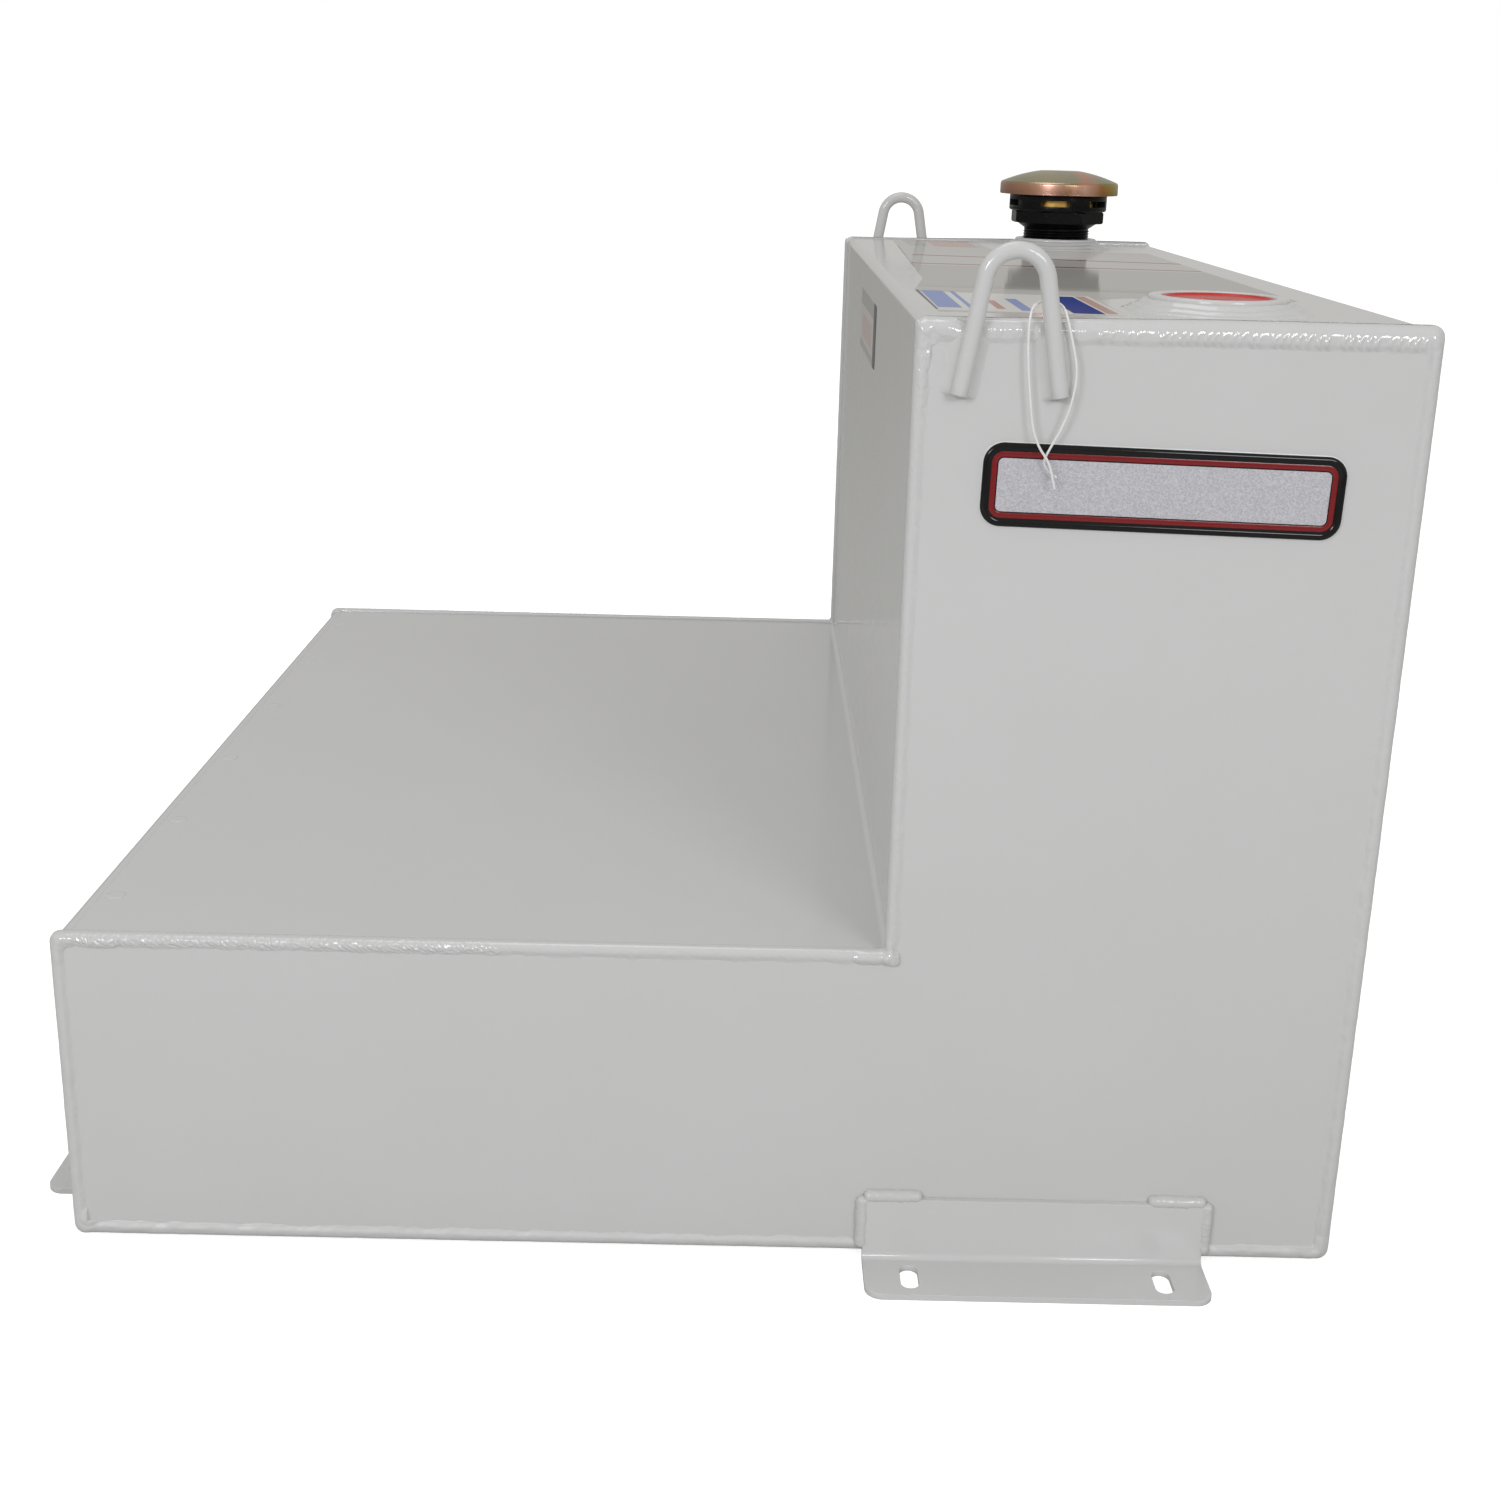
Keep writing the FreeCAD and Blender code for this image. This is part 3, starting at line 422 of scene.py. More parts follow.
@dataclass(frozen=True)
class YellowZinc(Finish):
    """Yellow chromated zinc, with the slow drift of gold, copper, olive and green that it has, and
    painted highlights on its upright rim.
    """

    name: str = ZINC
    middle: Pair = FILL_AXIS
    across: float = 104.0 * MM
    rim: float = 637.2 * MM
    drift: float = 26.0

    def dress(self, shader: ShaderGraph) -> Material:
        """Metal whose tint drifts over the dome, with deeper coppers on the upright rim, whose two pale
        pink bands are painted highlights.

        Args:
            shader: The material's empty tree.

        Returns:
            The material.
        """
        place = shader.place()
        x, y, z = shader.axes(place)
        cloud = shader.noise(place, self.drift, 2.0) - 0.5
        side = (x - self.middle[0]) / self.across + 0.5 + cloud * 0.34
        back = (y - self.middle[1]) / self.across
        dome = shader.ramp(side + back * 0.12, (
            (0.00, (0.30, 0.27, 0.15, 1.0)), (0.16, (0.34, 0.32, 0.19, 1.0)),
            (0.34, (0.44, 0.38, 0.24, 1.0)), (0.48, (0.36, 0.34, 0.22, 1.0)),
            (0.58, (0.62, 0.28, 0.17, 1.0)), (0.68, (0.46, 0.30, 0.20, 1.0)),
            (0.78, (0.23, 0.28, 0.12, 1.0)), (0.90, (0.42, 0.24, 0.13, 1.0)),
            (1.00, (0.26, 0.32, 0.07, 1.0)),
        ))
        # Upright rim's ramp: the zinc's own tint, except the pale pink stops at 0.40 and 0.64, which
        # are painted highlights.
        skirt = shader.ramp(side, (
            (0.02, (0.40, 0.22, 0.16, 1.0)), (0.20, (0.52, 0.28, 0.18, 1.0)),
            (0.40, (0.78, 0.44, 0.34, 1.0)), (0.53, (0.33, 0.18, 0.10, 1.0)),
            (0.64, (0.76, 0.45, 0.35, 1.0)), (0.78, (0.42, 0.20, 0.07, 1.0)),
            (0.88, (0.40, 0.34, 0.07, 1.0)), (0.98, (0.22, 0.24, 0.08, 1.0)),
        ))
        streak = shader.noise(place, 180.0, 2.0, 5.0)
        return shader.close({
            "Base Color": shader.mix(z.above(self.rim, 1.2 * MM), skirt, dome),
            "Metallic": 1.0,
            "Roughness": 0.22 + 0.12 * streak,
            "Normal": shader.bump(streak, 0.004 * MM),
        })


@dataclass(frozen=True)
class Grained(Finish):
    """Finish whose tone, gloss and relief all follow one noise.

    Attributes:
        name: Name of the material.
        low: Colour at the noise's low end.
        high: Colour at its high end.
        scale: Features per metre.
        roughness: Least roughness.
        spread: Roughness that the high end adds.
        detail: Octaves.
        relief: Height of the bump, where there is one.
        relief_scale: Features per metre of the bump, where it has a noise of its own.
        extra: Other inputs of the shader with their plain values.
    """

    name: str
    low: Colour
    high: Colour
    scale: float
    roughness: float
    spread: float
    detail: float = 2.0
    relief: float = 0.0
    relief_scale: float = 0.0
    extra: Extras = ()

    def dress(self, shader: ShaderGraph) -> Material:
        """Feed the noise to the colour, the roughness and the bump.

        Args:
            shader: The material's empty tree.

        Returns:
            The material.
        """
        place = shader.place()
        grain = shader.noise(place, self.scale, self.detail)
        sockets = {
            "Base Color": shader.mix(grain, self.low, self.high),
            "Roughness": self.roughness + self.spread * grain,
        }
        if self.relief > 0:
            height = shader.noise(place, self.relief_scale, 1.0) if self.relief_scale > 0 else grain
            sockets["Normal"] = shader.bump(height, self.relief)
        return shader.close(sockets | dict(self.extra))


@dataclass(frozen=True)
class GoldSleeve(Grained):
    """Bright gold zinc of the neck's sleeve, with faint drawn streaks."""

    name: str = "gold_sleeve"
    low: Colour = (0.80, 0.42, 0.08, 1.0)
    high: Colour = (0.95, 0.62, 0.20, 1.0)
    scale: float = 300.0
    roughness: float = 0.28
    spread: float = 0.12
    relief: float = 0.01 * MM
    extra: Extras = (("Metallic", 0.6),)


@dataclass(frozen=True)
class RedPlastic(Grained):
    """Soft red plastic of the push-in plug, with a waxy sheen and slow tone."""

    name: str = "red_plastic"
    low: Colour = (0.46, 0.016, 0.012, 1.0)
    high: Colour = (0.58, 0.032, 0.022, 1.0)
    scale: float = 70.0
    roughness: float = 0.30
    spread: float = 0.1
    relief: float = 0.01 * MM
    relief_scale: float = 900.0


@dataclass(frozen=True)
class Rubber(Grained):
    """Matt black rubber of the gasket and the vent valve, with a dry grain."""

    name: str = "rubber"
    low: Colour = (0.02, 0.02, 0.02, 1.0)
    high: Colour = (0.035, 0.034, 0.033, 1.0)
    scale: float = 1400.0
    roughness: float = 0.62
    spread: float = 0.2
    relief: float = 0.02 * MM


@dataclass(frozen=True)
class TieNylon(Grained):
    """Milky, slightly translucent nylon of the tag tie, with fine drawn lines."""

    name: str = "tie_nylon"
    low: Colour = (0.74, 0.74, 0.73, 1.0)
    high: Colour = (0.84, 0.84, 0.83, 1.0)
    scale: float = 260.0
    roughness: float = 0.34
    spread: float = 0.1
    relief: float = 0.02 * MM
    extra: Extras = (
        ("Subsurface Weight", 0.15), ("Subsurface Radius", (0.4 * MM, 0.4 * MM, 0.4 * MM)))


@dataclass(frozen=True)
class BadgeRim(Grained):
    """Glossy black resin of the badge's raised rim, with a faint ripple."""

    name: str = "badge_rim"
    low: Colour = (0.003, 0.003, 0.003, 1.0)
    high: Colour = (0.006, 0.006, 0.006, 1.0)
    scale: float = 160.0
    roughness: float = 0.07
    spread: float = 0.04
    detail: float = 1.0
    relief: float = 0.03 * MM
    extra: Extras = (("Specular IOR Level", 0.3),)


@dataclass(frozen=True)
class BadgeRed(Grained):
    """Red enamel line of the badge."""

    name: str = "badge_red"
    low: Colour = (0.17, 0.002, 0.004, 1.0)
    high: Colour = (0.22, 0.004, 0.006, 1.0)
    scale: float = 300.0
    roughness: float = 0.16
    spread: float = 0.05
    detail: float = 1.0


@dataclass(frozen=True)
class BadgeField(Finish):
    """Sparkling silver of the badge's bare middle."""

    name: str = "badge_field"
    flake_scale: float = 1500.0

    def dress(self, shader: ShaderGraph) -> Material:
        """Silver flakes under clear resin.

        Args:
            shader: The material's empty tree.

        Returns:
            The material.
        """
        flakes = shader.node("ShaderNodeTexVoronoi", output=1, sockets={
            "Vector": shader.place(), "Scale": self.flake_scale})
        bright, gloss = shader.axes(flakes)[:2]
        return shader.close({
            "Base Color": shader.mix(bright, (0.46, 0.45, 0.48, 1.0), (0.64, 0.63, 0.67, 1.0)),
            "Metallic": 0.35,
            "Roughness": 0.34 + 0.2 * gloss,
            "Normal": shader.bump(bright, 0.02 * MM),
        })


@dataclass(frozen=True)
class BareSteel(Finish):
    """Plain sheet steel with rolling marks, for the baffles inside."""

    name: str = "bare_steel"

    def dress(self, shader: ShaderGraph) -> Material:
        """Grey metal with fine streaks along X and a little oil stain.

        Args:
            shader: The material's empty tree.

        Returns:
            The material.
        """
        place = shader.place()
        stretched = shader.node("ShaderNodeVectorMath", {"operation": "MULTIPLY"},
                                {0: place, 1: (20.0, 900.0, 900.0)})
        streak = shader.noise(stretched, 1.0, 2.0)
        stain = shader.noise(place, 14.0, 3.0).above(0.55, 0.12)
        grey = shader.mix(streak, (0.42, 0.42, 0.43, 1.0), (0.58, 0.58, 0.58, 1.0))
        return shader.close({
            "Base Color": shader.mix(stain, grey, (0.34, 0.31, 0.27, 1.0)),
            "Metallic": 1.0,
            "Roughness": 0.32 + 0.2 * streak,
            "Normal": shader.bump(streak, 0.01 * MM),
        })


# Meshes

class Build:
    """Mesh code that several sub-assemblies share."""

    @staticmethod
    def clean(mesh: Mesh, merge: float = 0.0, flat: float = 0.0, outward: bool = True) -> None:
        """Merge doubles, join flats and turn faces outwards, each where it is asked for.

        Args:
            mesh: The mesh.
            merge: Distance within which points are merged, where it is above zero.
            flat: Angle within which faces are joined, where it is above zero.
            outward: Whether the faces are turned outwards.
        """
        work = bmesh.new()
        work.from_mesh(mesh)
        if merge > 0:
            bmesh.ops.remove_doubles(work, verts=work.verts, dist=merge)
        if flat > 0:
            bmesh.ops.dissolve_limit(work, angle_limit=flat, verts=work.verts, edges=work.edges)
        if outward:
            bmesh.ops.recalc_face_normals(work, faces=work.faces)
        work.to_mesh(mesh)
        work.free()

    @staticmethod
    def settle(piece: Object, modifier: Modifier) -> None:
        """Put a piece's evaluated shape in place of its mesh and modifier.

        Args:
            piece: The object.
            modifier: Its only modifier.
        """
        host = piece.data
        graph = bpy.context.evaluated_depsgraph_get()
        plain = bpy.data.meshes.new_from_object(piece.evaluated_get(graph), depsgraph=graph)
        piece.modifiers.remove(modifier)
        piece.data = plain
        bpy.data.meshes.remove(host)
        plain.name = piece.name

    @staticmethod
    def solid(name: str, points: Sequence[Vector], faces: Sequence[Sequence[int]]) -> Object:
        """Closed shape with its faces outwards.

        Args:
            name: Name of the object and its mesh.
            points: Its vertices.
            faces: Vertex numbers of each face.

        Returns:
            The object, merged and smooth but for its sharp edges.
        """
        made = bpy.data.meshes.new(name)
        made.from_pydata([tuple(p) for p in points], [], faces)
        Build.clean(made, merge=0.001 * MM)
        made.shade_smooth()
        made.set_sharp_from_angle(angle=SHARP_EDGE)
        return Build.object(name, made)

    @staticmethod
    def grid_faces(rows: int, columns: int, close_rows: bool,
                   close_columns: bool) -> list[tuple[int, ...]]:
        """Quads over a grid of points that is stored row by row.

        Args:
            rows: Number of rows.
            columns: Points in a row.
            close_rows: Whether the last row joins the first.
            close_columns: Whether each row's last point joins its first.

        Returns:
            Vertex numbers of each quad.
        """
        faces = []
        for i in range(rows if close_rows else rows - 1):
            here, after = i * columns, ((i + 1) % rows) * columns
            for j in range(columns if close_columns else columns - 1):
                k = (j + 1) % columns
                faces.append((here + j, here + k, after + k, after + j))
        return faces

    @staticmethod
    def polar(centre: Pair, radius: float, angle: float, height: float) -> Vector:
        """Point round an upright axis."""
        x, y = centre
        return Vector((x + radius * math.cos(angle), y + radius * math.sin(angle), height))

    @staticmethod
    def rounded(profile: Sequence[Pair], radius: float, steps: int = 4) -> list[Pair]:
        """Profile with its inner corners rounded.

        Args:
            profile: Corners of an open profile.
            radius: Most that a corner is rounded by.
            steps: Straight pieces in each round.

        Returns:
            The finer profile.
        """
        fine = [profile[0]]
        for before, corner, after in zip(profile, profile[1:], profile[2:]):
            p, q, r = Vector(before), Vector(corner), Vector(after)
            back, ahead = p - q, r - q
            reach = min(radius, 0.45 * back.length, 0.45 * ahead.length)
            start, end = q + back.normalized() * reach, q + ahead.normalized() * reach
            for k in range(steps + 1):
                t = k / steps
                spot = start * (1 - t) ** 2 + q * (2 * t * (1 - t)) + end * t ** 2
                fine.append((spot.x, spot.y))
        fine.append(profile[-1])
        return fine

    @staticmethod
    def lathe(name: str, profile: Sequence[Pair], centre: Pair, segments: int = 144,
              limit: Callable[[float, float], float] | None = None) -> Object:
        """Solid of revolution from a closed profile.

        Args:
            name: Name of the object.
            profile: Radius and height of each corner, joined back to the first.
            centre: X and Y of the axis.
            segments: Steps round the axis.
            limit: Most that the radius may be at an angle and height, if there is a limit.

        Returns:
            The object.
        """
        points = []
        for i in range(segments):
            angle = 2 * math.pi * i / segments
            for radius, height in profile:
                r = min(radius, limit(angle, height)) if limit else radius
                points.append(Build.polar(centre, r, angle, height))
        return Build.solid(name, points, Build.grid_faces(segments, len(profile), True, True))

    @staticmethod
    def object(name: str, data: ID) -> Object:
        """Object at the origin for a mesh, curve, lamp or camera.

        Args:
            name: Name of the object.
            data: What it shows.

        Returns:
            The object.
        """
        made = bpy.data.objects.new(name, data)
        bpy.context.scene.collection.objects.link(made)
        return made

    @staticmethod
    def twin(name: str, mesh: Mesh) -> Mesh:
        """The same mesh at the far end of the tank.

        Args:
            name: Name of the new mesh.
            mesh: Mesh at the near end.

        Returns:
            The mirrored mesh.
        """
        made = mesh.copy()
        made.name = name
        made.transform(Matrix.Diagonal((1.0, -1.0, 1.0, 1.0)))
        made.flip_normals()
        return made

    @staticmethod
    def copy(name: str, node: str, bevel: float) -> Object:
        """Dressed copy of a CAD node: merged, its flats joined and its edges softened.

        Args:
            name: Name of the new piece.
            node: CAD node that it is copied from.
            bevel: Width of the softened edges.

        Returns:
            The new piece, which replaces the node.
        """
        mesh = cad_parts[node].data.copy()
        mesh.name = name
        mesh.materials.clear()
        Build.clean(mesh, merge=0.002 * MM, flat=math.radians(0.4), outward=False)
        piece = Build.object(name, mesh)
        modifier = piece.modifiers.new("soft edges", "BEVEL")
        modifier.width = bevel
        modifier.segments = 2
        modifier.limit_method = "ANGLE"
        modifier.angle_limit = math.radians(35)
        modifier.harden_normals = True
        Build.settle(piece, modifier)
        return piece


@dataclass(frozen=True)
class TankSize:
    """Main planes of the tank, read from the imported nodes.

    Attributes:
        tail_x: Outer face of the tail wall.
        cab_x: Outer face of the cab wall.
        near_y: Outer face of the near end plate.
        floor_z: Underside of the floor.
        top_z: Upper face of the top sheet.
        sheet: Thickness of the sheet.
        tall_depth: Front to back of the tall section.
        deck_height: Floor to deck.
        bend: Outside radius of a bend.
    """

    tail_x: float
    cab_x: float
    near_y: float
    floor_z: float
    top_z: float
    sheet: float = 2.7 * MM
    tall_depth: float = 285.0 * MM
    deck_height: float = 201.0 * MM
    bend: float = 6.7 * MM

    @classmethod
    def read(cls) -> "TankSize":
        """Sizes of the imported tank."""
        low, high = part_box("tank_wrap")
        return cls(low.x, high.x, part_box("near_end_plate")[0].y, low.z, high.z)

    @property
    def step_x(self) -> float:
        """Outer face of the step wall."""
        return self.cab_x - self.tall_depth

    @property
    def deck_z(self) -> float:
        """Upper face of the deck."""
        return self.floor_z + self.deck_height


class Assembly:
    """A sub-assembly that places, dresses and reports its pieces."""

    def place(self, piece: Object, body: str, finish: Finish,
              replaces: Sequence[str] = (), slot: str | None = None) -> None:
        """Dress a piece, hang it on its body's empty and hide the nodes that it replaces.

        Args:
            piece: The object.
            body: CAD body that it rides on.
            finish: Its finish.
            replaces: CAD nodes that it stands for.
            slot: Material slot of the record, where it has one; not used.
        """
        piece.data.materials.clear()
        piece.data.materials.append(finish.material())
        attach(piece, body)
        if replaces:
            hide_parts(*replaces)
        count = len(piece.data.polygons) if piece.type == "MESH" else 0
        log.info("%s on %s, %d faces", piece.name, body, count)

    def dress_nodes(self, finish: Finish, nodes: Sequence[str]) -> None:
        """Give CAD nodes that stay as they are their finish.

        Args:
            finish: The finish.
            nodes: Names of the nodes.
        """
        for name in nodes:
            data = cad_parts[name].data
            data.materials.clear()
            data.materials.append(finish.material())
            log.info("%s keeps its CAD shape, %s", name, finish.name)


# Welds

@dataclass(frozen=True)
class BeadForm:
    """Form of the end bead on one side of the tank's section.

    Attributes:
        width: Reach over the end plate.
        proud: Height over the outer face of the side.
        step: Spacing of the cross-sections.
        middle: Distance of the ripples' middle from the wrap, outwards.
        half: Half of the ripples' width.
        ripple: Strength of the ripples.
        lumps: Strength of the lumps.
    """

    width: float
    proud: float
    step: float
    middle: float
    half: float
    ripple: float
    lumps: float


class Side(Enum):
    """Sides of the tank's section in order round it, each with the form of its bead."""

    FLOOR = BeadForm(9.6 * MM, 0.8 * MM, 1.5 * MM, -3.0 * MM, 4.2 * MM, 0.20, 1.4)
    CAB = BeadForm(9.8 * MM, 0.8 * MM, 1.5 * MM, -4.0 * MM, 4.6 * MM, 0.22, 1.3)
    TOP = BeadForm(13.5 * MM, 2.6 * MM, 0.4 * MM, -5.0 * MM, 6.4 * MM, 0.22, 0.8)
    STEP = BeadForm(6.2 * MM, 2.8 * MM, 0.9 * MM, -1.0 * MM, 4.4 * MM, 0.30, 1.0)
    DECK = BeadForm(6.4 * MM, 2.3 * MM, 0.65 * MM, -1.6 * MM, 4.4 * MM, 1.5, 0.9)
    TAIL = BeadForm(9.4 * MM, 0.8 * MM, 1.5 * MM, -4.0 * MM, 4.2 * MM, 0.15, 1.0)


@dataclass(frozen=True)
class Ripple:
    """Sizes of the ripples and lumps on a bead.

    Attributes:
        pitch: Distance between crescents.
        depth: Their height.
        bow: How far a crescent's ends lag behind its middle, in pitches.
        lump: Height of the lumps.
    """

    pitch: float
    depth: float
    bow: float
    lump: float


@dataclass(frozen=True)
class Station:
    """One cross-section of a swept bead.

    Attributes:
        points: Its corners.
        along: Distance along the bead.
        across: Place of each corner across the ripples, -1 to 1.
        ripple: Strength of the ripples at each corner.
        swell: Strength of the lumps at each corner.
    """

    points: list[Vector]
    along: float
    across: list[float]
    ripple: list[float]
    swell: list[float]


class WeldTree:
    """Geometry tree that lays crescents and lumps on a swept bead."""

    def __init__(self) -> None:
        """Build the tree."""
        tree = GeometryTree("weld_ripples")
        pitch = tree.take("Pitch")
        depth = tree.take("Depth")
        bow = tree.take("Bow")
        lump = tree.take("Lump")
        seed = tree.take("Seed")
        place = tree.node("GeometryNodeInputPosition")
        along = tree.attribute("along")
        across = tree.attribute("across")
        wander = tree.noise(place, 120.0, 1.0, seed) - 0.5
        phase = (along / pitch + across * across * bow + wander * 2.4).fraction()
        crescent = phase ** 0.6 * (1.0 - phase) * 3.07
        uneven = tree.noise(place, 220.0, 2.0, seed + 4.0)
        dabs = (tree.noise(place, 420.0, 1.0, seed + 2.0) - 0.5) * 2.0
        lift = tree.attribute("ripple") * depth * (crescent * (0.2 + 1.0 * uneven) + dabs)
        lumps = tree.attribute("swell") * lump * (tree.noise(place, 85.0, 2.0, seed + 9.0) - 0.5) * 2.0
        shift = tree.node("ShaderNodeVectorMath", {"operation": "SCALE"},
                          {0: tree.node("GeometryNodeInputNormal"), "Scale": lift + lumps})
        moved = tree.node("GeometryNodeSetPosition", sockets={"Geometry": tree.host, "Offset": shift})
        tree.close(tree.node("GeometryNodeSetShadeSmooth", sockets={"Geometry": moved}))
        self.tree = tree

    def host(self, name: str, strips: Sequence[tuple[Sequence[Station], bool]]) -> Mesh:
        """Mesh of one or more swept beads with their attributes.

        Args:
            name: Name of the mesh.
            strips: Cross-sections of each bead, and whether its last one joins the first.

        Returns:
            The mesh that the tree works on.
        """
        points, faces, along = [], [], []
        values: dict[str, list[float]] = {"across": [], "ripple": [], "swell": []}
        for stations, closed in strips:
            first, columns = len(points), len(stations[0].points)
            shape = Build.grid_faces(len(stations), columns, closed, True)
            if not closed:
                last = (len(stations) - 1) * columns
                shape += [tuple(range(columns)), tuple(range(last + columns - 1, last - 1, -1))]
            faces += [tuple(first + v for v in face) for face in shape]
            for station in stations:
                points += [tuple(p) for p in station.points]
                along += [station.along] * columns
                for key, found in values.items():
                    found += getattr(station, key)
        mesh = bpy.data.meshes.new(name)
        mesh.from_pydata(points, [], faces)
        for key, found in (*values.items(), ("along", along)):
            mesh.attributes.new(key, "FLOAT", "POINT").data.foreach_set("value", found)
        Build.clean(mesh)
        return mesh

    def lay(self, name: str, host: Mesh, ripple: Ripple, seed: float,
            finish: Finish) -> Object:
        """Piece made by rippling a host mesh, with its noises started at seed."""
        return self.tree.bake(name, host, {
            "Pitch": ripple.pitch, "Depth": ripple.depth, "Bow": ripple.bow, "Lump": ripple.lump,
            "Seed": seed, "Finish": finish.material()})


@dataclass(frozen=True)
class Knob:
    """Round lump of weld metal on the face of an end bead.

    Attributes:
        x: Its middle along X.
        z: Its middle along Z.
        wide: Its reach along X.
        tall: Its reach along Z.
        height: How far it stands out.
        bow: How far its two ends lag behind its middle along X, for a crescent.
    """

    x: float
    z: float
    wide: float
    tall: float
    height: float
    bow: float = 0.0

    def lift(self, x: float, z: float) -> float:
        """Height of the lump at a point of the face.

        Args:
            x: The point's place along X.
            z: The point's place along Z.

        Returns:
            The height, 0 outside the lump.
        """
        rise = (z - self.z) / self.tall
        if abs(rise) >= 1:
            return 0.0
        run = (x - self.x - self.bow * rise * rise) / self.wide
        if self.bow > 0:
            return self.height * (1 - rise * rise) * math.exp(-run * run) if abs(run) < 3 else 0.0
        left = 1 - rise * rise - run * run
        return self.height * left ** 0.75 if left > 0 else 0.0


@dataclass
class EndBeads(Assembly):
    """Wide rippled bead round each end plate.

    Attributes:
        size: Planes of the tank.
        weld: Tree that ripples the bead.
        face: Height in front of the end plate.
        full_width: Width from which on the bead has that height.
        wrap_width: Reach back along the wrap.
        edge_round: Radius of the outer edge.
        toe_run: Reach of the soft toe on the end plate.
        toe_wander: How far the toe strays.
        toe_step: Height of the toe's own edge under the plate's face.
        inner_corner: Radius of the toe's corners.
        corner_steps: Cross-sections round a corner.
        calm_deck: X from which on the deck's ripples are calm.
        calm_ripple: Strength of the ripples there.
        calm_corner: Distance from a corner within which the ripples fade.
        low_top: X where the top bead is low, and where it has its full height again.
        top_sink: How low it is there.
        ripple: Sizes of the ripples.
    """

    size: TankSize
    weld: WeldTree
    face: float = 1.5 * MM
    full_width: float = 9.0 * MM
    wrap_width: float = 5.0 * MM
    edge_round: float = 9.0 * MM
    toe_run: float = 5.6 * MM
    toe_wander: float = 0.9 * MM
    toe_step: float = 0.12 * MM
    inner_corner: float = 3.0 * MM
    corner_steps: int = 8
    calm_deck: float = -110.0 * MM
    calm_ripple: float = 0.25
    calm_corner: float = 12.0 * MM
    low_top: Pair = (170.0 * MM, 290.0 * MM)
    top_sink: float = 1.7 * MM
    ripple: Ripple = Ripple(4.2 * MM, 0.7 * MM, 0.8, 0.6 * MM)

    def knobs(self) -> list[Knob]:
        """Lumps at the corners and the row of crescents on the top side.

        Returns:
            The lumps, then the crescents.
        """
        row, wide, bow = 573.4 * MM, 1.35 * MM, 2.4 * MM
        lumps = (
            (130.3, 578.5, 5.5, 6.0, 1.2), (140.1, 577.6, 6.5, 6.0, 1.2),
            (146.6, 572.2, 5.0, 5.5, 0.7), (129.0, 570.5, 4.4, 6.0, 1.0),
            (133.2, 564.8, 4.6, 6.0, 1.1), (131.4, 558.6, 4.6, 5.5, 1.0),
            (129.4, 550.0, 3.6, 7.0, 0.9), (130.6, 541.0, 3.4, 8.0, 0.6),
            (169.4, 576.2, 3.0, 3.4, 0.6), (178.1, 576.4, 3.2, 3.6, 0.7),
            (208.8, 577.0, 3.2, 4.0, 0.7), (226.2, 576.0, 6.5, 4.0, 0.7),
            (406.5, 577.0, 4.0, 6.0, 1.0), (408.6, 568.0, 4.0, 8.0, 0.8),
            (-346.0, 203.4, 12.0, 5.0, 1.4), (-366.0, 204.5, 7.0, 7.0, 1.2),
            (-370.0, 196.0, 4.0, 7.0, 0.7), (116.0, 205.0, 11.0, 5.0, 1.9),
            (129.2, 204.4, 6.6, 6.4, 3.0), (125.6, 211.0, 4.6, 6.0, 1.3),
            (-364.0, 19.0, 6.0, 6.0, 2.2), (-368.6, 13.0, 7.0, 8.0, 1.4),
            (-340.0, 14.0, 16.0, 4.6, 0.6), (-300.0, 15.0, 18.0, 4.4, 0.6),
            (-255.0, 14.0, 20.0, 4.6, 0.5), (-190.0, 15.0, 24.0, 4.4, 0.5),
            (-120.0, 14.0, 24.0, 4.6, 0.5), (394.0, 18.0, 9.0, 6.0, 1.0),
            (401.0, 15.8, 9.0, 9.0, 1.8), (372.0, 15.0, 12.0, 5.0, 0.9),
            (352.0, 15.5, 12.0, 4.6, 0.7), (406.0, 34.0, 4.6, 20.0, 0.9),
            (406.6, 70.0, 4.4, 18.0, 0.6),
        )
        crescents = (
            (224.6, 0.8), (230.6, 0.6), (239.0, 0.7), (244.2, 0.6), (258.0, 0.8), (262.4, 0.6),
            (268.2, 0.9), (272.6, 0.9), (276.8, 0.8), (282.0, 1.0), (286.2, 1.0), (290.6, 0.9),
            (296.0, 0.9), (300.4, 0.9), (306.4, 1.0), (310.6, 0.8), (319.0, 1.1), (323.0, 1.1),
            (327.2, 1.0), (332.0, 1.0), (337.0, 1.1), (343.0, 1.2), (347.6, 1.3), (356.6, 1.1),
            (360.8, 1.2), (365.4, 1.2), (370.2, 1.1), (374.6, 1.1), (382.2, 1.0), (386.8, 1.0),
            (391.8, 0.9), (396.0, 1.1), (400.6, 0.9),
        )
        found = [Knob(*(v * MM for v in lump)) for lump in lumps]
        found += [Knob(x * MM, row, wide, (3.4 + 0.9 * high) * MM, 0.75 * high * MM, bow)
                  for x, high in crescents]
        return found

    def corners(self, inset: Callable[[BeadForm], float]) -> list[Vector]:
        """X and Z of the section's corners, from the floor's tail end on.

        Args:
            inset: How far a side moves inwards, from the form of its bead.

        Returns:
            The corners.
        """
        s = self.size
        floor, cab, top, step, deck, tail = (inset(side.value) for side in Side)
        x_tail, x_cab, x_step = s.tail_x + tail, s.cab_x - cab, s.step_x + step
        z_floor, z_top, z_deck = s.floor_z + floor, s.top_z - top, s.deck_z - deck
        return [Vector(corner) for corner in (
            (x_tail, z_floor), (x_cab, z_floor), (x_cab, z_top),
            (x_step, z_top), (x_step, z_deck), (x_tail, z_deck))]

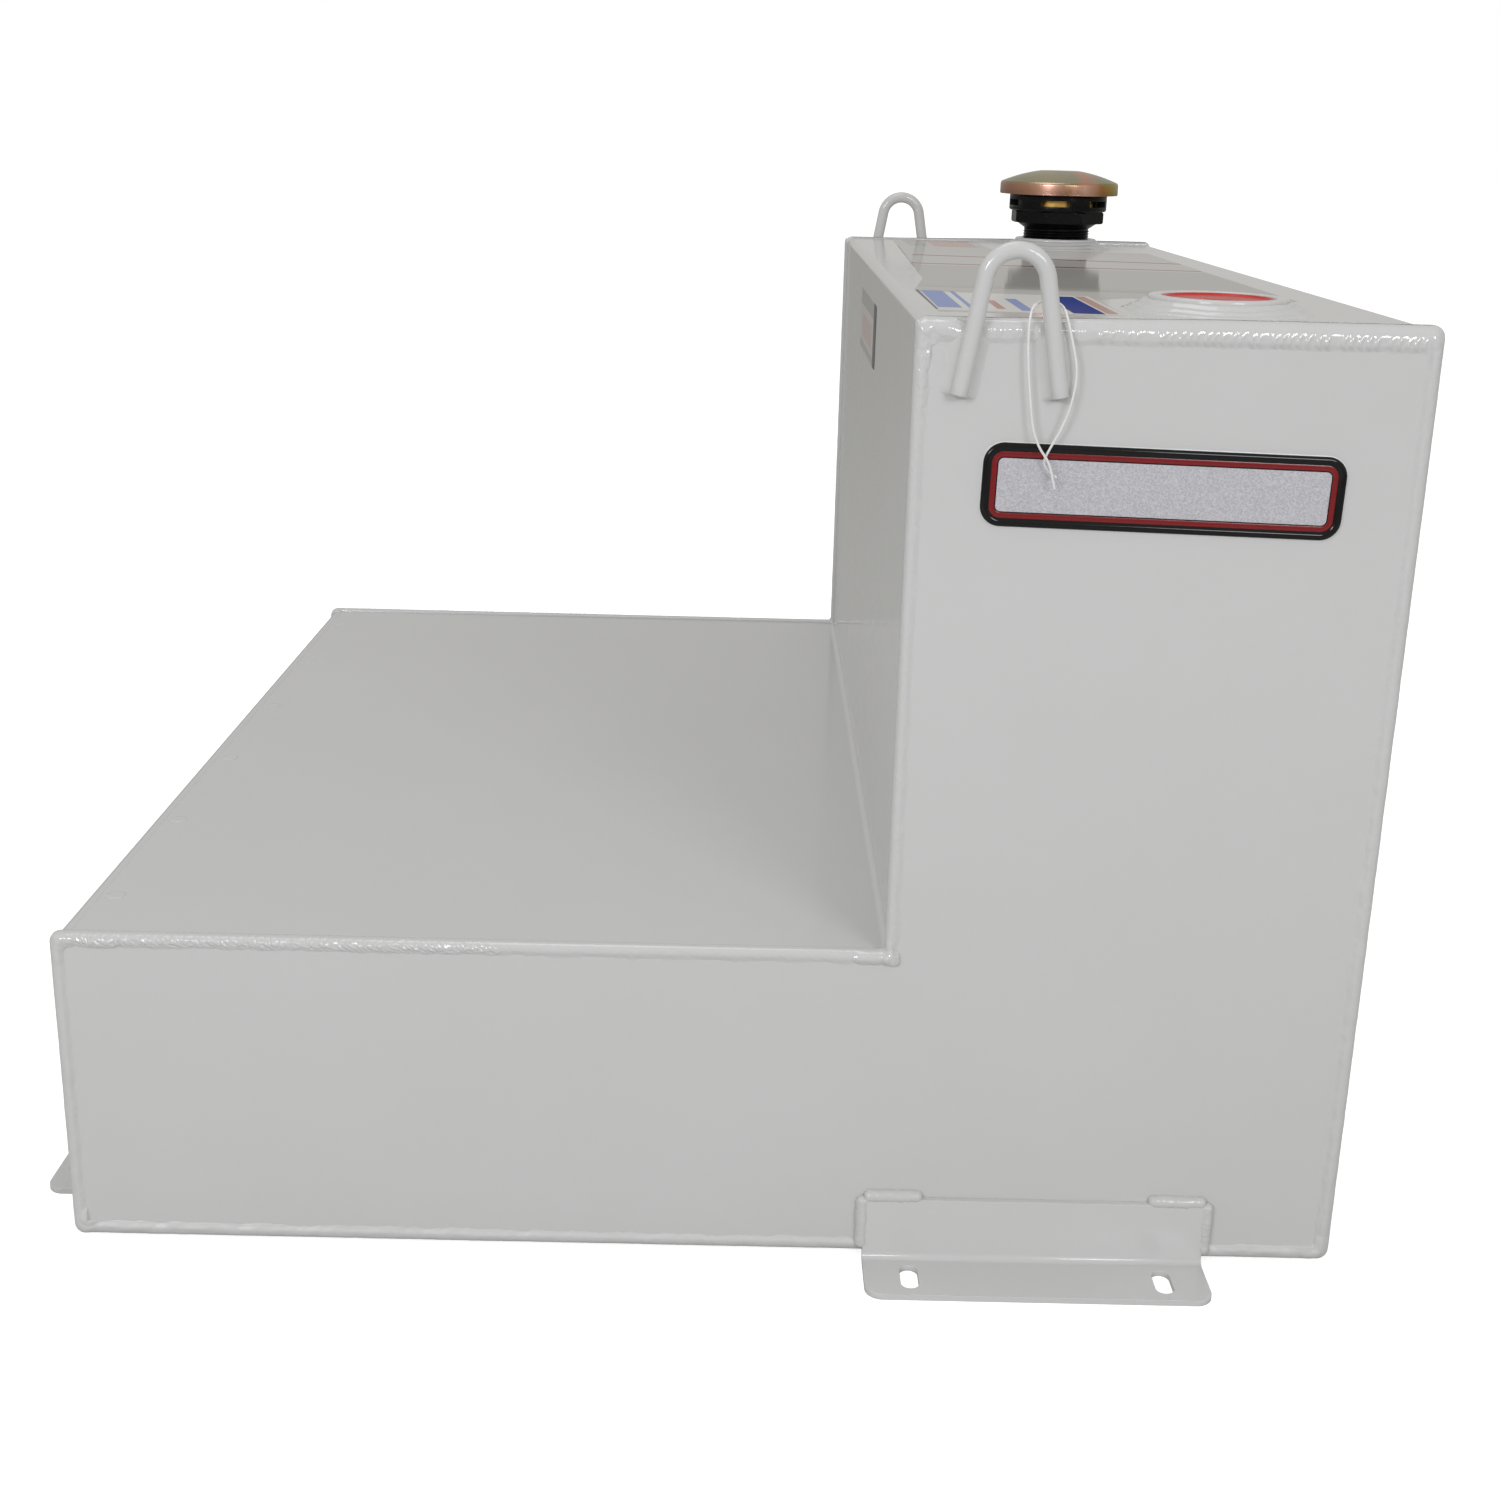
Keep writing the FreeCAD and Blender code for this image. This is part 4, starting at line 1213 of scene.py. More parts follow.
    def outline(self, corners: Sequence[Vector], convex: float, concave: float,
                counts: Sequence[int]) -> list[Vector]:
        """Closed rounded outline with a fixed number of points on each side and corner.

        Args:
            corners: Corners of the section.
            convex: Radius of the outer corners.
            concave: Radius of the corner at the foot of the step.
            counts: Points on each side.

        Returns:
            X and Z of each point.
        """
        number = len(corners)
        ends = []
        for i, corner in enumerate(corners):
            radius = concave if i == 4 else convex
            back = (corners[i - 1] - corner).normalized() * radius
            ahead = (corners[(i + 1) % number] - corner).normalized() * radius
            ends.append((corner + back, corner + ahead, corner + back + ahead))
        points = []
        for i, (start, end, centre) in enumerate(ends):
            for k in range(self.corner_steps):
                angle = k / self.corner_steps * math.pi / 2
                points.append(centre + (start - centre) * math.cos(angle)
                              + (end - centre) * math.sin(angle))
            after = ends[(i + 1) % number][0]
            points += [end.lerp(after, k / counts[i]) for k in range(counts[i])]
        return points

    def widths(self, counts: Sequence[int]) -> list[tuple[float, float, Side, float]]:
        """Form of the bead at each point of the outline.

        Args:
            counts: Points on each side.

        Returns:
            Width, height over the side, side, and distance from the nearest corner.
        """
        sides = list(Side)
        found = []
        for i, side in enumerate(sides):
            before, form = sides[i - 1], side.value
            for k in range(self.corner_steps):
                t = k / self.corner_steps
                found.append((before.value.width * (1 - t) + form.width * t,
                              before.value.proud * (1 - t) + form.proud * t,
                              side if t > 0.5 else before, 0.0))
            for k in range(counts[i]):
                found.append((form.width, form.proud, side, min(k, counts[i] - k) * form.step))
        return found

    def profile(self, width: float, proud: float) -> list[Pair]:
        """Cross-section of the bead.

        Args:
            width: Its reach over the end plate.
            proud: Its height over the side.

        Returns:
            Distance outwards from the wrap and height in front of the end plate of each corner.
        """
        toe_steps, arc_steps = 13, 8
        radius = min(self.edge_round, 0.62 * width)
        run = width + proud - radius
        height = self.face * min(1.0, width / self.full_width)
        shape = [(-width - 0.8 * MM, -0.5 * MM)]
        for k in range(toe_steps):
            reach = run * k / toe_steps
            t = min(reach / min(self.toe_run, run), 1.0)
            rise = (height + self.toe_step) * t * t * (3 - 2 * t)
            shape.append((reach - width, -self.toe_step + rise))
        for k in range(arc_steps + 1):
            angle = math.pi / 2 * (1 - k / arc_steps)
            shape.append((proud - radius + radius * math.cos(angle),
                          height - radius + radius * math.sin(angle)))
        back = -self.size.sheet - self.wrap_width
        shape += [(proud, back + 2.6 * MM), (proud * 0.9, back + 1.4 * MM),
                  (proud * 0.5, back + 0.4 * MM), (-0.3 * MM, back - 0.2 * MM)]
        return shape

    def sunk(self, edge: Vector) -> Vector:
        """Outer point of the section, lowered where the top bead is low.

        Args:
            edge: X and Z of the point.

        Returns:
            The point, lowered where it has to be.
        """
        if edge.y <= self.size.top_z:
            return edge
        low, full = self.low_top
        climb = min(max((edge.x - low) / (full - low), 0.0), 1.0)
        return Vector((edge.x, edge.y - self.top_sink * (1 - climb)))

    def stations(self) -> list[Station]:
        """Cross-sections round the near end plate.

        Returns:
            The cross-sections in order.
        """
        outer_corners = self.corners(lambda form: -form.proud)
        inner_corners = self.corners(lambda form: form.width)
        counts = [max(4, round((outer_corners[(i + 1) % 6] - corner).length / side.value.step))
                  for i, (corner, side) in enumerate(zip(outer_corners, Side))]
        outer = self.outline(outer_corners, self.size.bend, self.inner_corner, counts)
        inner = self.outline(inner_corners, self.inner_corner, self.inner_corner, counts)
        knobs = self.knobs()
        near = 26 * MM
        found = []
        along = 0.0
        rows = zip(outer, inner, self.widths(counts))
        for i, (edge, toe, (width, proud, side, clear)) in enumerate(rows):
            edge = self.sunk(edge)
            spot = Vector((edge.x, 0.0, edge.y))
            wander = noise.noise(spot * 90) + 0.6 * noise.noise(spot * 260)
            toe = toe + (edge - toe).normalized() * self.toe_wander * wander
            close = [k for k in knobs if abs(k.x - edge.x) < near and abs(k.z - edge.y) < near]
            points, details = [], []
            for d, y in self.profile(width, proud):
                spot = toe.lerp(edge, (d + width) / (width + proud))
                front = min(max((y + self.size.sheet) / (2 * MM), 0.0), 1.0) if d > -width else 0.0
                lift = front * sum(k.lift(spot.x, spot.y) for k in close)
                points.append(Vector((spot.x, self.size.near_y - y - lift, spot.y)))
                details.append(self.detail(side, d, y, clear, edge.x))
            found.append(Station(points, along, *(list(column) for column in zip(*details))))
            along += (outer[(i + 1) % len(outer)] - edge).length
        return found

    def detail(self, side: Side, d: float, y: float, clear: float, x: float) -> Place:
        """Place across the ripples, ripple strength and lump strength at a point.

        Args:
            side: Side of the section.
            d: Distance outwards from the wrap.
            y: Height in front of the end plate.
            clear: Distance from the nearest corner.
            x: Place along X.

        Returns:
            The three values.
        """
        form = side.value
        place = (d - form.middle) / form.half
        behind = y < 1.0 * MM - self.size.sheet - self.wrap_width
        if behind or y < -0.4 * MM and d < -2 * MM:
            return place, 0.0, 0.0
        calm = side is Side.DECK and x >= self.calm_deck
        zone = max(0.0, 1 - place * place)
        corner = min(clear / self.calm_corner, 1.0)
        lumps = form.lumps * (0.4 if d > -0.5 * MM else 1.0)
        return (place, (self.calm_ripple if calm else form.ripple) * zone * (0.4 + 0.6 * corner),
                lumps * (1.3 - 0.3 * corner))

    def build(self) -> None:
        """Make both beads."""
        finish = PowderCoat(name="powder_coat_on_weld", roughness=0.04, shine=0.7,
                            matt_below=24.0 * MM)
        host = self.weld.host("near_end_bead", [(self.stations(), True)])
        for end, mesh, seed in (("near", host, 1.0), ("far", Build.twin("far_end_bead", host), 7.0)):
            piece = self.weld.lay(f"{end}_end_bead", mesh, self.ripple, seed, finish)
            self.place(piece, "tank", finish, [f"{end}_end_weld"], WHITE)


# Swept rods

class RodTree:
    """Geometry tree that sweeps a profile along a path of points with their own radii."""

    def __init__(self, level: bool) -> None:
        """Build the tree.

        Args:
            level: Whether the profile keeps level, as a thread's does.
        """
        tree = GeometryTree("level_rod" if level else "rod")
        sides = tree.take("Sides", "NodeSocketInt")
        path = tree.node("GeometryNodeMeshToCurve", sockets={0: tree.host})
        if level:
            path = tree.node("GeometryNodeSetCurveNormal", {"mode": "Z_UP"}, {0: path})
        ring = tree.node("GeometryNodeCurvePrimitiveCircle", sockets={
            "Resolution": sides, "Radius": 1.0})
        rod = tree.node("GeometryNodeCurveToMesh", sockets={
            "Curve": path, "Profile Curve": ring, "Scale": tree.attribute("radius"),
            "Fill Caps": True})
        tree.close(tree.node("GeometryNodeMergeByDistance", sockets={
            "Geometry": rod, "Distance": 1e-6}))
        self.tree = tree

    def bake(self, name: str, paths: Sequence[Sequence[tuple[Vector, float]]], sides: int,
             finish: Finish) -> Object:
        """Sweep one piece.

        Args:
            name: Name of the piece.
            paths: Points of each path with the radius there.
            sides: Corners of the profile.
            finish: Its finish.

        Returns:
            The piece.
        """
        points = [tuple(p) for path in paths for p, radius in path]
        radii = [radius for path in paths for p, radius in path]
        edges = []
        first = 0
        for path in paths:
            edges += [(first + i, first + i + 1) for i in range(len(path) - 1)]
            first += len(path)
        mesh = bpy.data.meshes.new(name)
        mesh.from_pydata(points, edges, [])
        mesh.attributes.new("radius", "FLOAT", "POINT").data.foreach_set("value", radii)
        piece = self.tree.bake(name, mesh, {"Sides": sides, "Finish": finish.material()})
        Build.clean(piece.data)
        piece.data.shade_smooth()
        piece.data.set_sharp_from_angle(angle=math.radians(50))
        return piece


@dataclass
class LiftingLoops(Assembly):
    """Bent round bar at each end, with the wide smooth welds along its two legs.

    Attributes:
        size: Planes of the tank.
        weld: Tree that ripples the welds.
        rods: Tree that sweeps the bar.
        middle_x: Middle of the loop along X.
        bar: Radius of the bar.
        bend: Radius of the crown at the bar's middle.
        rise: Height of the crown over the top sheet.
        drop: Depth of the feet under it.
        splay: Lean of a leg.
        weld_half: Half of a weld's width.
        weld_height: Its height over the end plate.
        weld_length: Its length from the foot up.
        weld_rows: Its cross-sections.
        weld_columns: Spans in a cross-section.
        ripple: Sizes of its ripples.
    """

    size: TankSize
    weld: WeldTree
    rods: RodTree
    middle_x: float = 177.0 * MM
    bar: float = 4.75 * MM
    bend: float = 17.0 * MM
    rise: float = 37.2 * MM
    drop: float = 40.4 * MM
    splay: float = math.radians(9.9)
    weld_half: float = 11.5 * MM
    weld_height: float = 5.2 * MM
    weld_length: float = 41.0 * MM
    weld_rows: int = 60
    weld_columns: int = 34
    ripple: Ripple = Ripple(3.5 * MM, 0.35 * MM, 0.4, 0.5 * MM)

    def crown(self, angle: float) -> Vector:
        """Point of the crown's bend, as a distance from the loop's middle and a height."""
        centre_z = self.size.top_z + self.rise - self.bend
        return Vector((self.bend * math.cos(angle), centre_z + self.bend * math.sin(angle)))

    def ends(self) -> tuple[Vector, Vector]:
        """Foot and shoulder of the cab-side leg, as distances from the loop's middle and heights.

        Returns:
            Foot and shoulder.
        """
        shoulder = self.crown(self.splay)
        foot_z = self.size.top_z - self.drop
        run = (shoulder.y - foot_z) * math.tan(self.splay)
        return Vector((shoulder.x + run, foot_z)), shoulder

    def path(self) -> list[tuple[Vector, float]]:
        """Middle of the bar, leg, crown and leg, with its radius.

        Returns:
            Points from foot to foot with the radius there.
        """
        leg_steps, crown_steps = 12, 24
        foot, shoulder = self.ends()
        y = self.size.near_y - self.bar
        leg = (shoulder - foot).normalized()
        half = [(foot + leg * step, self.bar - cut)
                for step, cut in ((0.0, 0.6 * MM), (0.15 * MM, 0.25 * MM), (0.6 * MM, 0.0))]
        half += [(foot.lerp(shoulder, k / leg_steps), self.bar) for k in range(1, leg_steps + 1)]
        half += [(self.crown(self.splay + (math.pi / 2 - self.splay) * k / crown_steps), self.bar)
                 for k in range(1, crown_steps + 1)]
        right = [(Vector((self.middle_x + p.x, y, p.y)), radius) for p, radius in half]
        left = [(Vector((self.middle_x - p.x, y, p.y)), radius) for p, radius in half[:-1]]
        return left + right[::-1]

    def pad(self, side: int) -> list[Station]:
        """Cross-sections of the weld along one leg, from its foot up to the bead.

        Args:
            side: -1 for the tail-side leg and 1 for the cab-side one.

        Returns:
            The cross-sections.
        """
        foot = self.ends()[0]
        start = Vector((self.middle_x + side * foot.x, 0.0, foot.y))
        up = Vector((-side * math.sin(self.splay), 0.0, math.cos(self.splay)))
        across_leg = Vector((up.z, 0.0, -up.x))
        length, count, columns = self.weld_length, self.weld_rows, self.weld_columns
        found = []
        for i in range(count + 1):
            v = length * i / count
            tip = min(1.0, v / (4 * MM))
            tail = min(1.0, (length - v) / (9 * MM))
            round_off = math.sqrt(1 - (1 - tip) ** 2) * tail * tail * (3 - 2 * tail)
            sway = 0.06 * noise.noise(Vector((side, v * 120, 0)))
            half = self.weld_half * (0.80 + 0.20 * round_off + sway)
            points, across, ripple, swell = [], [], [], []
            for j in range(columns + 1):
                u = -1 + 2 * j / columns
                rise = (0.5 + 0.5 * math.cos(math.pi * u)) ** 0.75
                height = self.weld_height * rise * round_off - 0.15 * MM
                spot = start + up * (v - 1.6 * MM) + across_leg * (u * half)
                spot.y = self.size.near_y - height
                points.append(spot)
                across.append(u)
                ripple.append(0.12 * rise * round_off)
                swell.append(0.8 * rise * round_off)
            found.append(Station(points, v, across, ripple, swell))
        return found

    def build(self) -> None:
        """Make both loops and their welds."""
        coat = PowderCoat()
        bar = self.rods.bake("near_loop_bar", [self.path()], 32, coat)
        far_bar = Build.object("far_loop_bar", Build.twin("far_loop_bar", bar.data))
        self.place(bar, "tank", coat, ["near_lifting_loop"], WHITE)
        self.place(far_bar, "tank", coat, ["far_lifting_loop"], WHITE)
        finish = PowderCoat(name="powder_coat_on_leg_weld", roughness=0.05, shine=0.7)
        host = self.weld.host("near_leg_welds", [(self.pad(side), False) for side in (-1, 1)])
        for end, mesh, seed in (("near", host, 2.0), ("far", Build.twin("far_leg_welds", host), 5.0)):
            piece = self.weld.lay(f"{end}_leg_welds", mesh, self.ripple, seed, finish)
            self.place(piece, "tank", finish, [f"{end}_loop_welds"], WHITE)


@dataclass(frozen=True)
class Port:
    """One ring on the top sheet.

    Attributes:
        key: First word of its names.
        y: Place of its axis along Y.
        hub: Its outer radius.
        toe: Outer radius of its weld.
        thread: Radius of its bore.
        seat: Radius of its counterbore, or 0 where it has none.
    """

    key: str
    y: float
    hub: float
    toe: float
    thread: float
    seat: float = 0.0


@dataclass
class Bungs(Assembly):
    """Turned rings on the top sheet, each with a weld laid in three passes.

    Attributes:
        size: Planes of the tank.
        weld: Tree that ripples the welds.
        below: Depth of a ring under the top sheet.
        drop: How far a weld ends below its ring's face.
        edge: Radius of a ring's softened edges.
        seat_depth: Depth of the counterbore.
        bite: How far a weld reaches into its ring.
        ripple: Sizes of the ripples.
    """

    size: TankSize
    weld: WeldTree
    below: float = 14.0 * MM
    drop: float = 1.9 * MM
    edge: float = 1.8 * MM
    seat_depth: float = 3.0 * MM
    bite: float = 0.3 * MM
    ripple: Ripple = Ripple(3.2 * MM, 0.26 * MM, 0.5, 0.6 * MM)

    def ring(self, port: Port) -> Object:
        """Turned ring with softened edges.

        Args:
            port: Sizes of the ring.

        Returns:
            The ring.
        """
        high, low = self.size.top_z + RING_RISE, self.size.top_z - self.below
        floor = high - self.seat_depth
        mouth = [(port.thread, high)]
        if port.seat:
            mouth = [(port.seat, high), (port.seat, floor), (port.thread, floor)]
        profile = [(port.thread, low), (port.hub, low), (port.hub, high)] + mouth
        name = port.key + "_ring"
        fine = Build.rounded(profile + profile[:2], self.edge)[1:-1]
        return Build.lathe(name, fine, (PORT_X, port.y), 128)

    def passes(self, port: Port) -> list[Station]:
        """Cross-sections of the weld round a ring.

        Args:
            port: Sizes of the ring.

        Returns:
            The cross-sections in order.
        """
        top = self.size.top_z
        height = RING_RISE - self.drop
        count, columns = 360, 30
        inner, centre = port.hub - self.bite, (PORT_X, port.y)
        found = []
        for i in range(count):
            angle = 2 * math.pi * i / count
            turn = Vector((math.cos(angle), math.sin(angle), port.hub * 40))
            drift = 0.5 * noise.noise(turn * 2.2)
            spread = 1.6 * MM * noise.noise(turn * 3.5)
            points, across, ripple, swell = [], [], [], []
            for j in range(columns + 1):
                t = j / columns
                bead = t * 3 + drift * t * (1 - t) * 4
                bulge = 0.5 - 0.5 * math.cos(2 * math.pi * bead)
                fall = (1 - t) ** 1.15
                r = inner + (port.toe - port.hub + 2 * self.bite + spread * t) * t
                z = top + height * fall + 0.7 * MM * bulge * (0.5 + 0.5 * (1 - t)) - 0.5 * MM * t
                points.append(Build.polar(centre, r, angle, z))
                across.append(2 * (bead % 1.0) - 1)
                ripple.append(0.6 * bulge)
                swell.append(0.5 + 0.4 * bulge if 0 < j < columns else 0.0)
            points.append(Build.polar(centre, inner, angle, top - 0.5 * MM))
            for column in (across, ripple, swell):
                column.append(0.0)
            found.append(Station(points, (port.hub + port.toe) / 2 * angle, across, ripple, swell))
        return found

    def build(self) -> None:
        """Make both rings and their welds."""
        coat = PowderCoat()
        rough = PowderCoat(name="powder_coat_on_bung_weld", roughness=0.06)
        for port in (Port("fill", PORT_Y, 36.0 * MM, 50.0 * MM, 29.4 * MM),
                     Port("pump", -PORT_Y, 41.0 * MM, 56.5 * MM, 28.6 * MM, 33.2 * MM)):
            self.place(self.ring(port), "tank", coat, [port.key + "_bung"], WHITE)
            name = port.key + "_ring_weld"
            host = self.weld.host(name, [(self.passes(port), True)])
            piece = self.weld.lay(name, host, self.ripple, port.hub * 100, rough)
            self.place(piece, "tank", rough, [port.key + "_bung_weld"], WHITE)


@dataclass
class Brackets(Assembly):
    """Four formed angle brackets with their round beads.

    Attributes:
        size: Planes of the tank.
        weld: Tree that ripples the beads.
        half: Half of a bracket's length.
        leg: Height of its upright leg.
        end_x: Middle of the end brackets along X.
        tail_y: Middle of the near tail bracket along Y.
        top_bead: Length of a bead on the leg's top.
        bead: Radius of the beads.
        sunk: Depth of the beads' middle behind the wall.
        ripple: Sizes of the ripples.
    """

    size: TankSize
    weld: WeldTree
    half: float = 106.5 * MM
    leg: float = 44.8 * MM
    end_x: float = 225.25 * MM
    tail_y: float = -254.5 * MM
    top_bead: float = 36.0 * MM
    bead: float = 3.9 * MM
    sunk: float = -1.0 * MM
    ripple: Ripple = Ripple(3.2 * MM, 0.45 * MM, 0.4, 1.1 * MM)

    def strip(self, start: Pair, end: Pair) -> tuple[list[Station], bool]:
        """Round bead with round ends, on a wall at Y = 0.

        Args:
            start: X and Z of its first point.
            end: X and Z of its last point.

        Returns:
            Its cross-sections, and that it isn't closed.
        """
        first, last = (Vector((x, self.sunk, z)) for x, z in (start, end))
        out = Vector((0, 1, 0))
        run = (last - first).normalized()
        side = run.cross(out).normalized()
        length = (last - first).length
        count, columns = max(20, int(length / (0.6 * MM))), 16
        found = []
        for i in range(count + 1):
            v = length * i / count
            t = min(1.0, min(v, length - v) / self.bead)
            radius = self.bead * (0.22 + 0.78 * math.sqrt(1 - (1 - t) ** 2))
            angles = [2 * math.pi * j / columns for j in range(columns)]
            points = [first + run * v + (side * math.cos(a) + out * math.sin(a)) * radius
                      for a in angles]
            found.append(Station(points, v, [math.cos(a) for a in angles], [0.7] * columns,
                                 [0.9 * t] * columns))
        return found, False

    def strips(self) -> list[tuple[list[Station], bool]]:
        """Two short beads along the top of a leg and one down each side.

        Returns:
            Cross-sections of each bead, and whether it is closed.
        """
        found = []
        foot, high = self.size.floor_z + 3.5 * MM, self.leg + 1.0 * MM
        for side in (-1, 1):
            low, top = sorted((side * self.half, side * (self.half - self.top_bead)))
            out = side * self.half + side * 1.0 * MM
            found += [self.strip((low, high), (top, high)),
                      self.strip((out, foot), (out, self.leg + 0.5 * MM))]
        return found

    def build(self) -> None:
        """Make the brackets and all their beads."""
        # Painted light: the same white powder coat as the tank, made paler so that the brackets show
        # brighter.
        coat = PowderCoat(name="powder_coat_on_bracket", roughness=0.14,
                          pale=(0.64, 0.64, 0.635, 1.0), dull=(0.615, 0.615, 0.605, 1.0))
        for name, node in (("near_angle", "near_bracket"), ("far_angle", "far_bracket"),
                           ("tail_angle_near", "tail_bracket_near"),
                           ("tail_angle_far", "tail_bracket_far")):
            self.place(Build.copy(name, node, 0.45 * MM), "tank", coat, [node], WHITE)
        near = Matrix.Translation((self.end_x, self.size.near_y, 0))
        tail = (Matrix.Translation((self.size.tail_x, self.tail_y, 0))
                @ Matrix.Rotation(-math.pi / 2, 4, "Z"))
        mirror = Matrix.Diagonal((1.0, -1.0, 1.0, 1.0))
        beads = [([replace(s, points=[turn @ p for p in s.points]) for s in strip], closed)
                 for turn in (near, mirror @ near, tail, mirror @ tail)
                 for strip, closed in self.strips()]
        finish = PowderCoat(name="powder_coat_on_bracket_weld", roughness=0.10)
        host = self.weld.host("bracket_beads", beads)
        piece = self.weld.lay("bracket_beads", host, self.ripple, 3.0, finish)
        self.place(piece, "tank", finish, ["bracket_welds"], WHITE)


@dataclass
class PlugWelds(Assembly):
    """Row of filled holes along the deck's tail edge.

    Attributes:
        size: Planes of the tank.
        from_tail: Distance of the row from the tail wall.
        first: Distance of the first weld from the near end plate.
        pitch: Distance between welds.
        count: Number of welds.
        radius: Radius of a weld.
        crown: Its height over the deck.
        lean: Most that one leans.
    """

    size: TankSize
    from_tail: float = 19.5 * MM
    first: float = 68.0 * MM
    pitch: float = 142.0 * MM
    count: int = 6
    radius: float = 6.2 * MM
    crown: float = 0.5 * MM
    lean: float = 0.02

    def disc(self) -> Object:
        """One filled hole: a raised ring with a slightly sunk middle.

        Returns:
            The pattern that is repeated.
        """
        r = self.radius
        profile = [(0.0, -1.0 * MM), (r, -1.0 * MM), (r, 0.05 * MM), (r - 0.7 * MM, 0.38 * MM),
                   (r - 2.0 * MM, self.crown), (r - 3.6 * MM, 0.36 * MM), (0.0, 0.22 * MM)]
        return Build.lathe("plug_weld_pattern", profile, (0.0, 0.0), 40)

    def build(self) -> None:
        """Repeat the disc along the deck."""
        tree = GeometryTree("row_of_plugs")
        pattern = tree.take("Pattern", "NodeSocketObject")
        seed = tree.take("Seed", "NodeSocketInt")
        shape = tree.node("GeometryNodeObjectInfo", sockets={"Object": pattern}, output=4)
        turn = tree.node("FunctionNodeRandomValue", {"data_type": "FLOAT_VECTOR"}, {
            0: (-self.lean, -self.lean, 0.0), 1: (self.lean, self.lean, 6.28), "Seed": seed})
        tree.close(tree.node("GeometryNodeInstanceOnPoints", sockets={
            "Points": tree.host, "Instance": shape, "Rotation": turn}))
        x, start = self.size.tail_x + self.from_tail, self.size.near_y + self.first
        mesh = bpy.data.meshes.new("plug_weld_row")
        spots = [(x, start + i * self.pitch, self.size.deck_z) for i in range(self.count)]
        mesh.from_pydata(spots, [], [])
        disc = self.disc()
        finish = PowderCoat(name="powder_coat_on_plug_weld", roughness=0.12)
        piece = tree.bake("plug_weld_row", mesh, {
            "Pattern": disc, "Seed": 11, "Finish": finish.material()})
        bpy.data.objects.remove(disc)
        self.place(piece, "tank", finish, ["plug_welds"], WHITE)


# Fill neck and cap

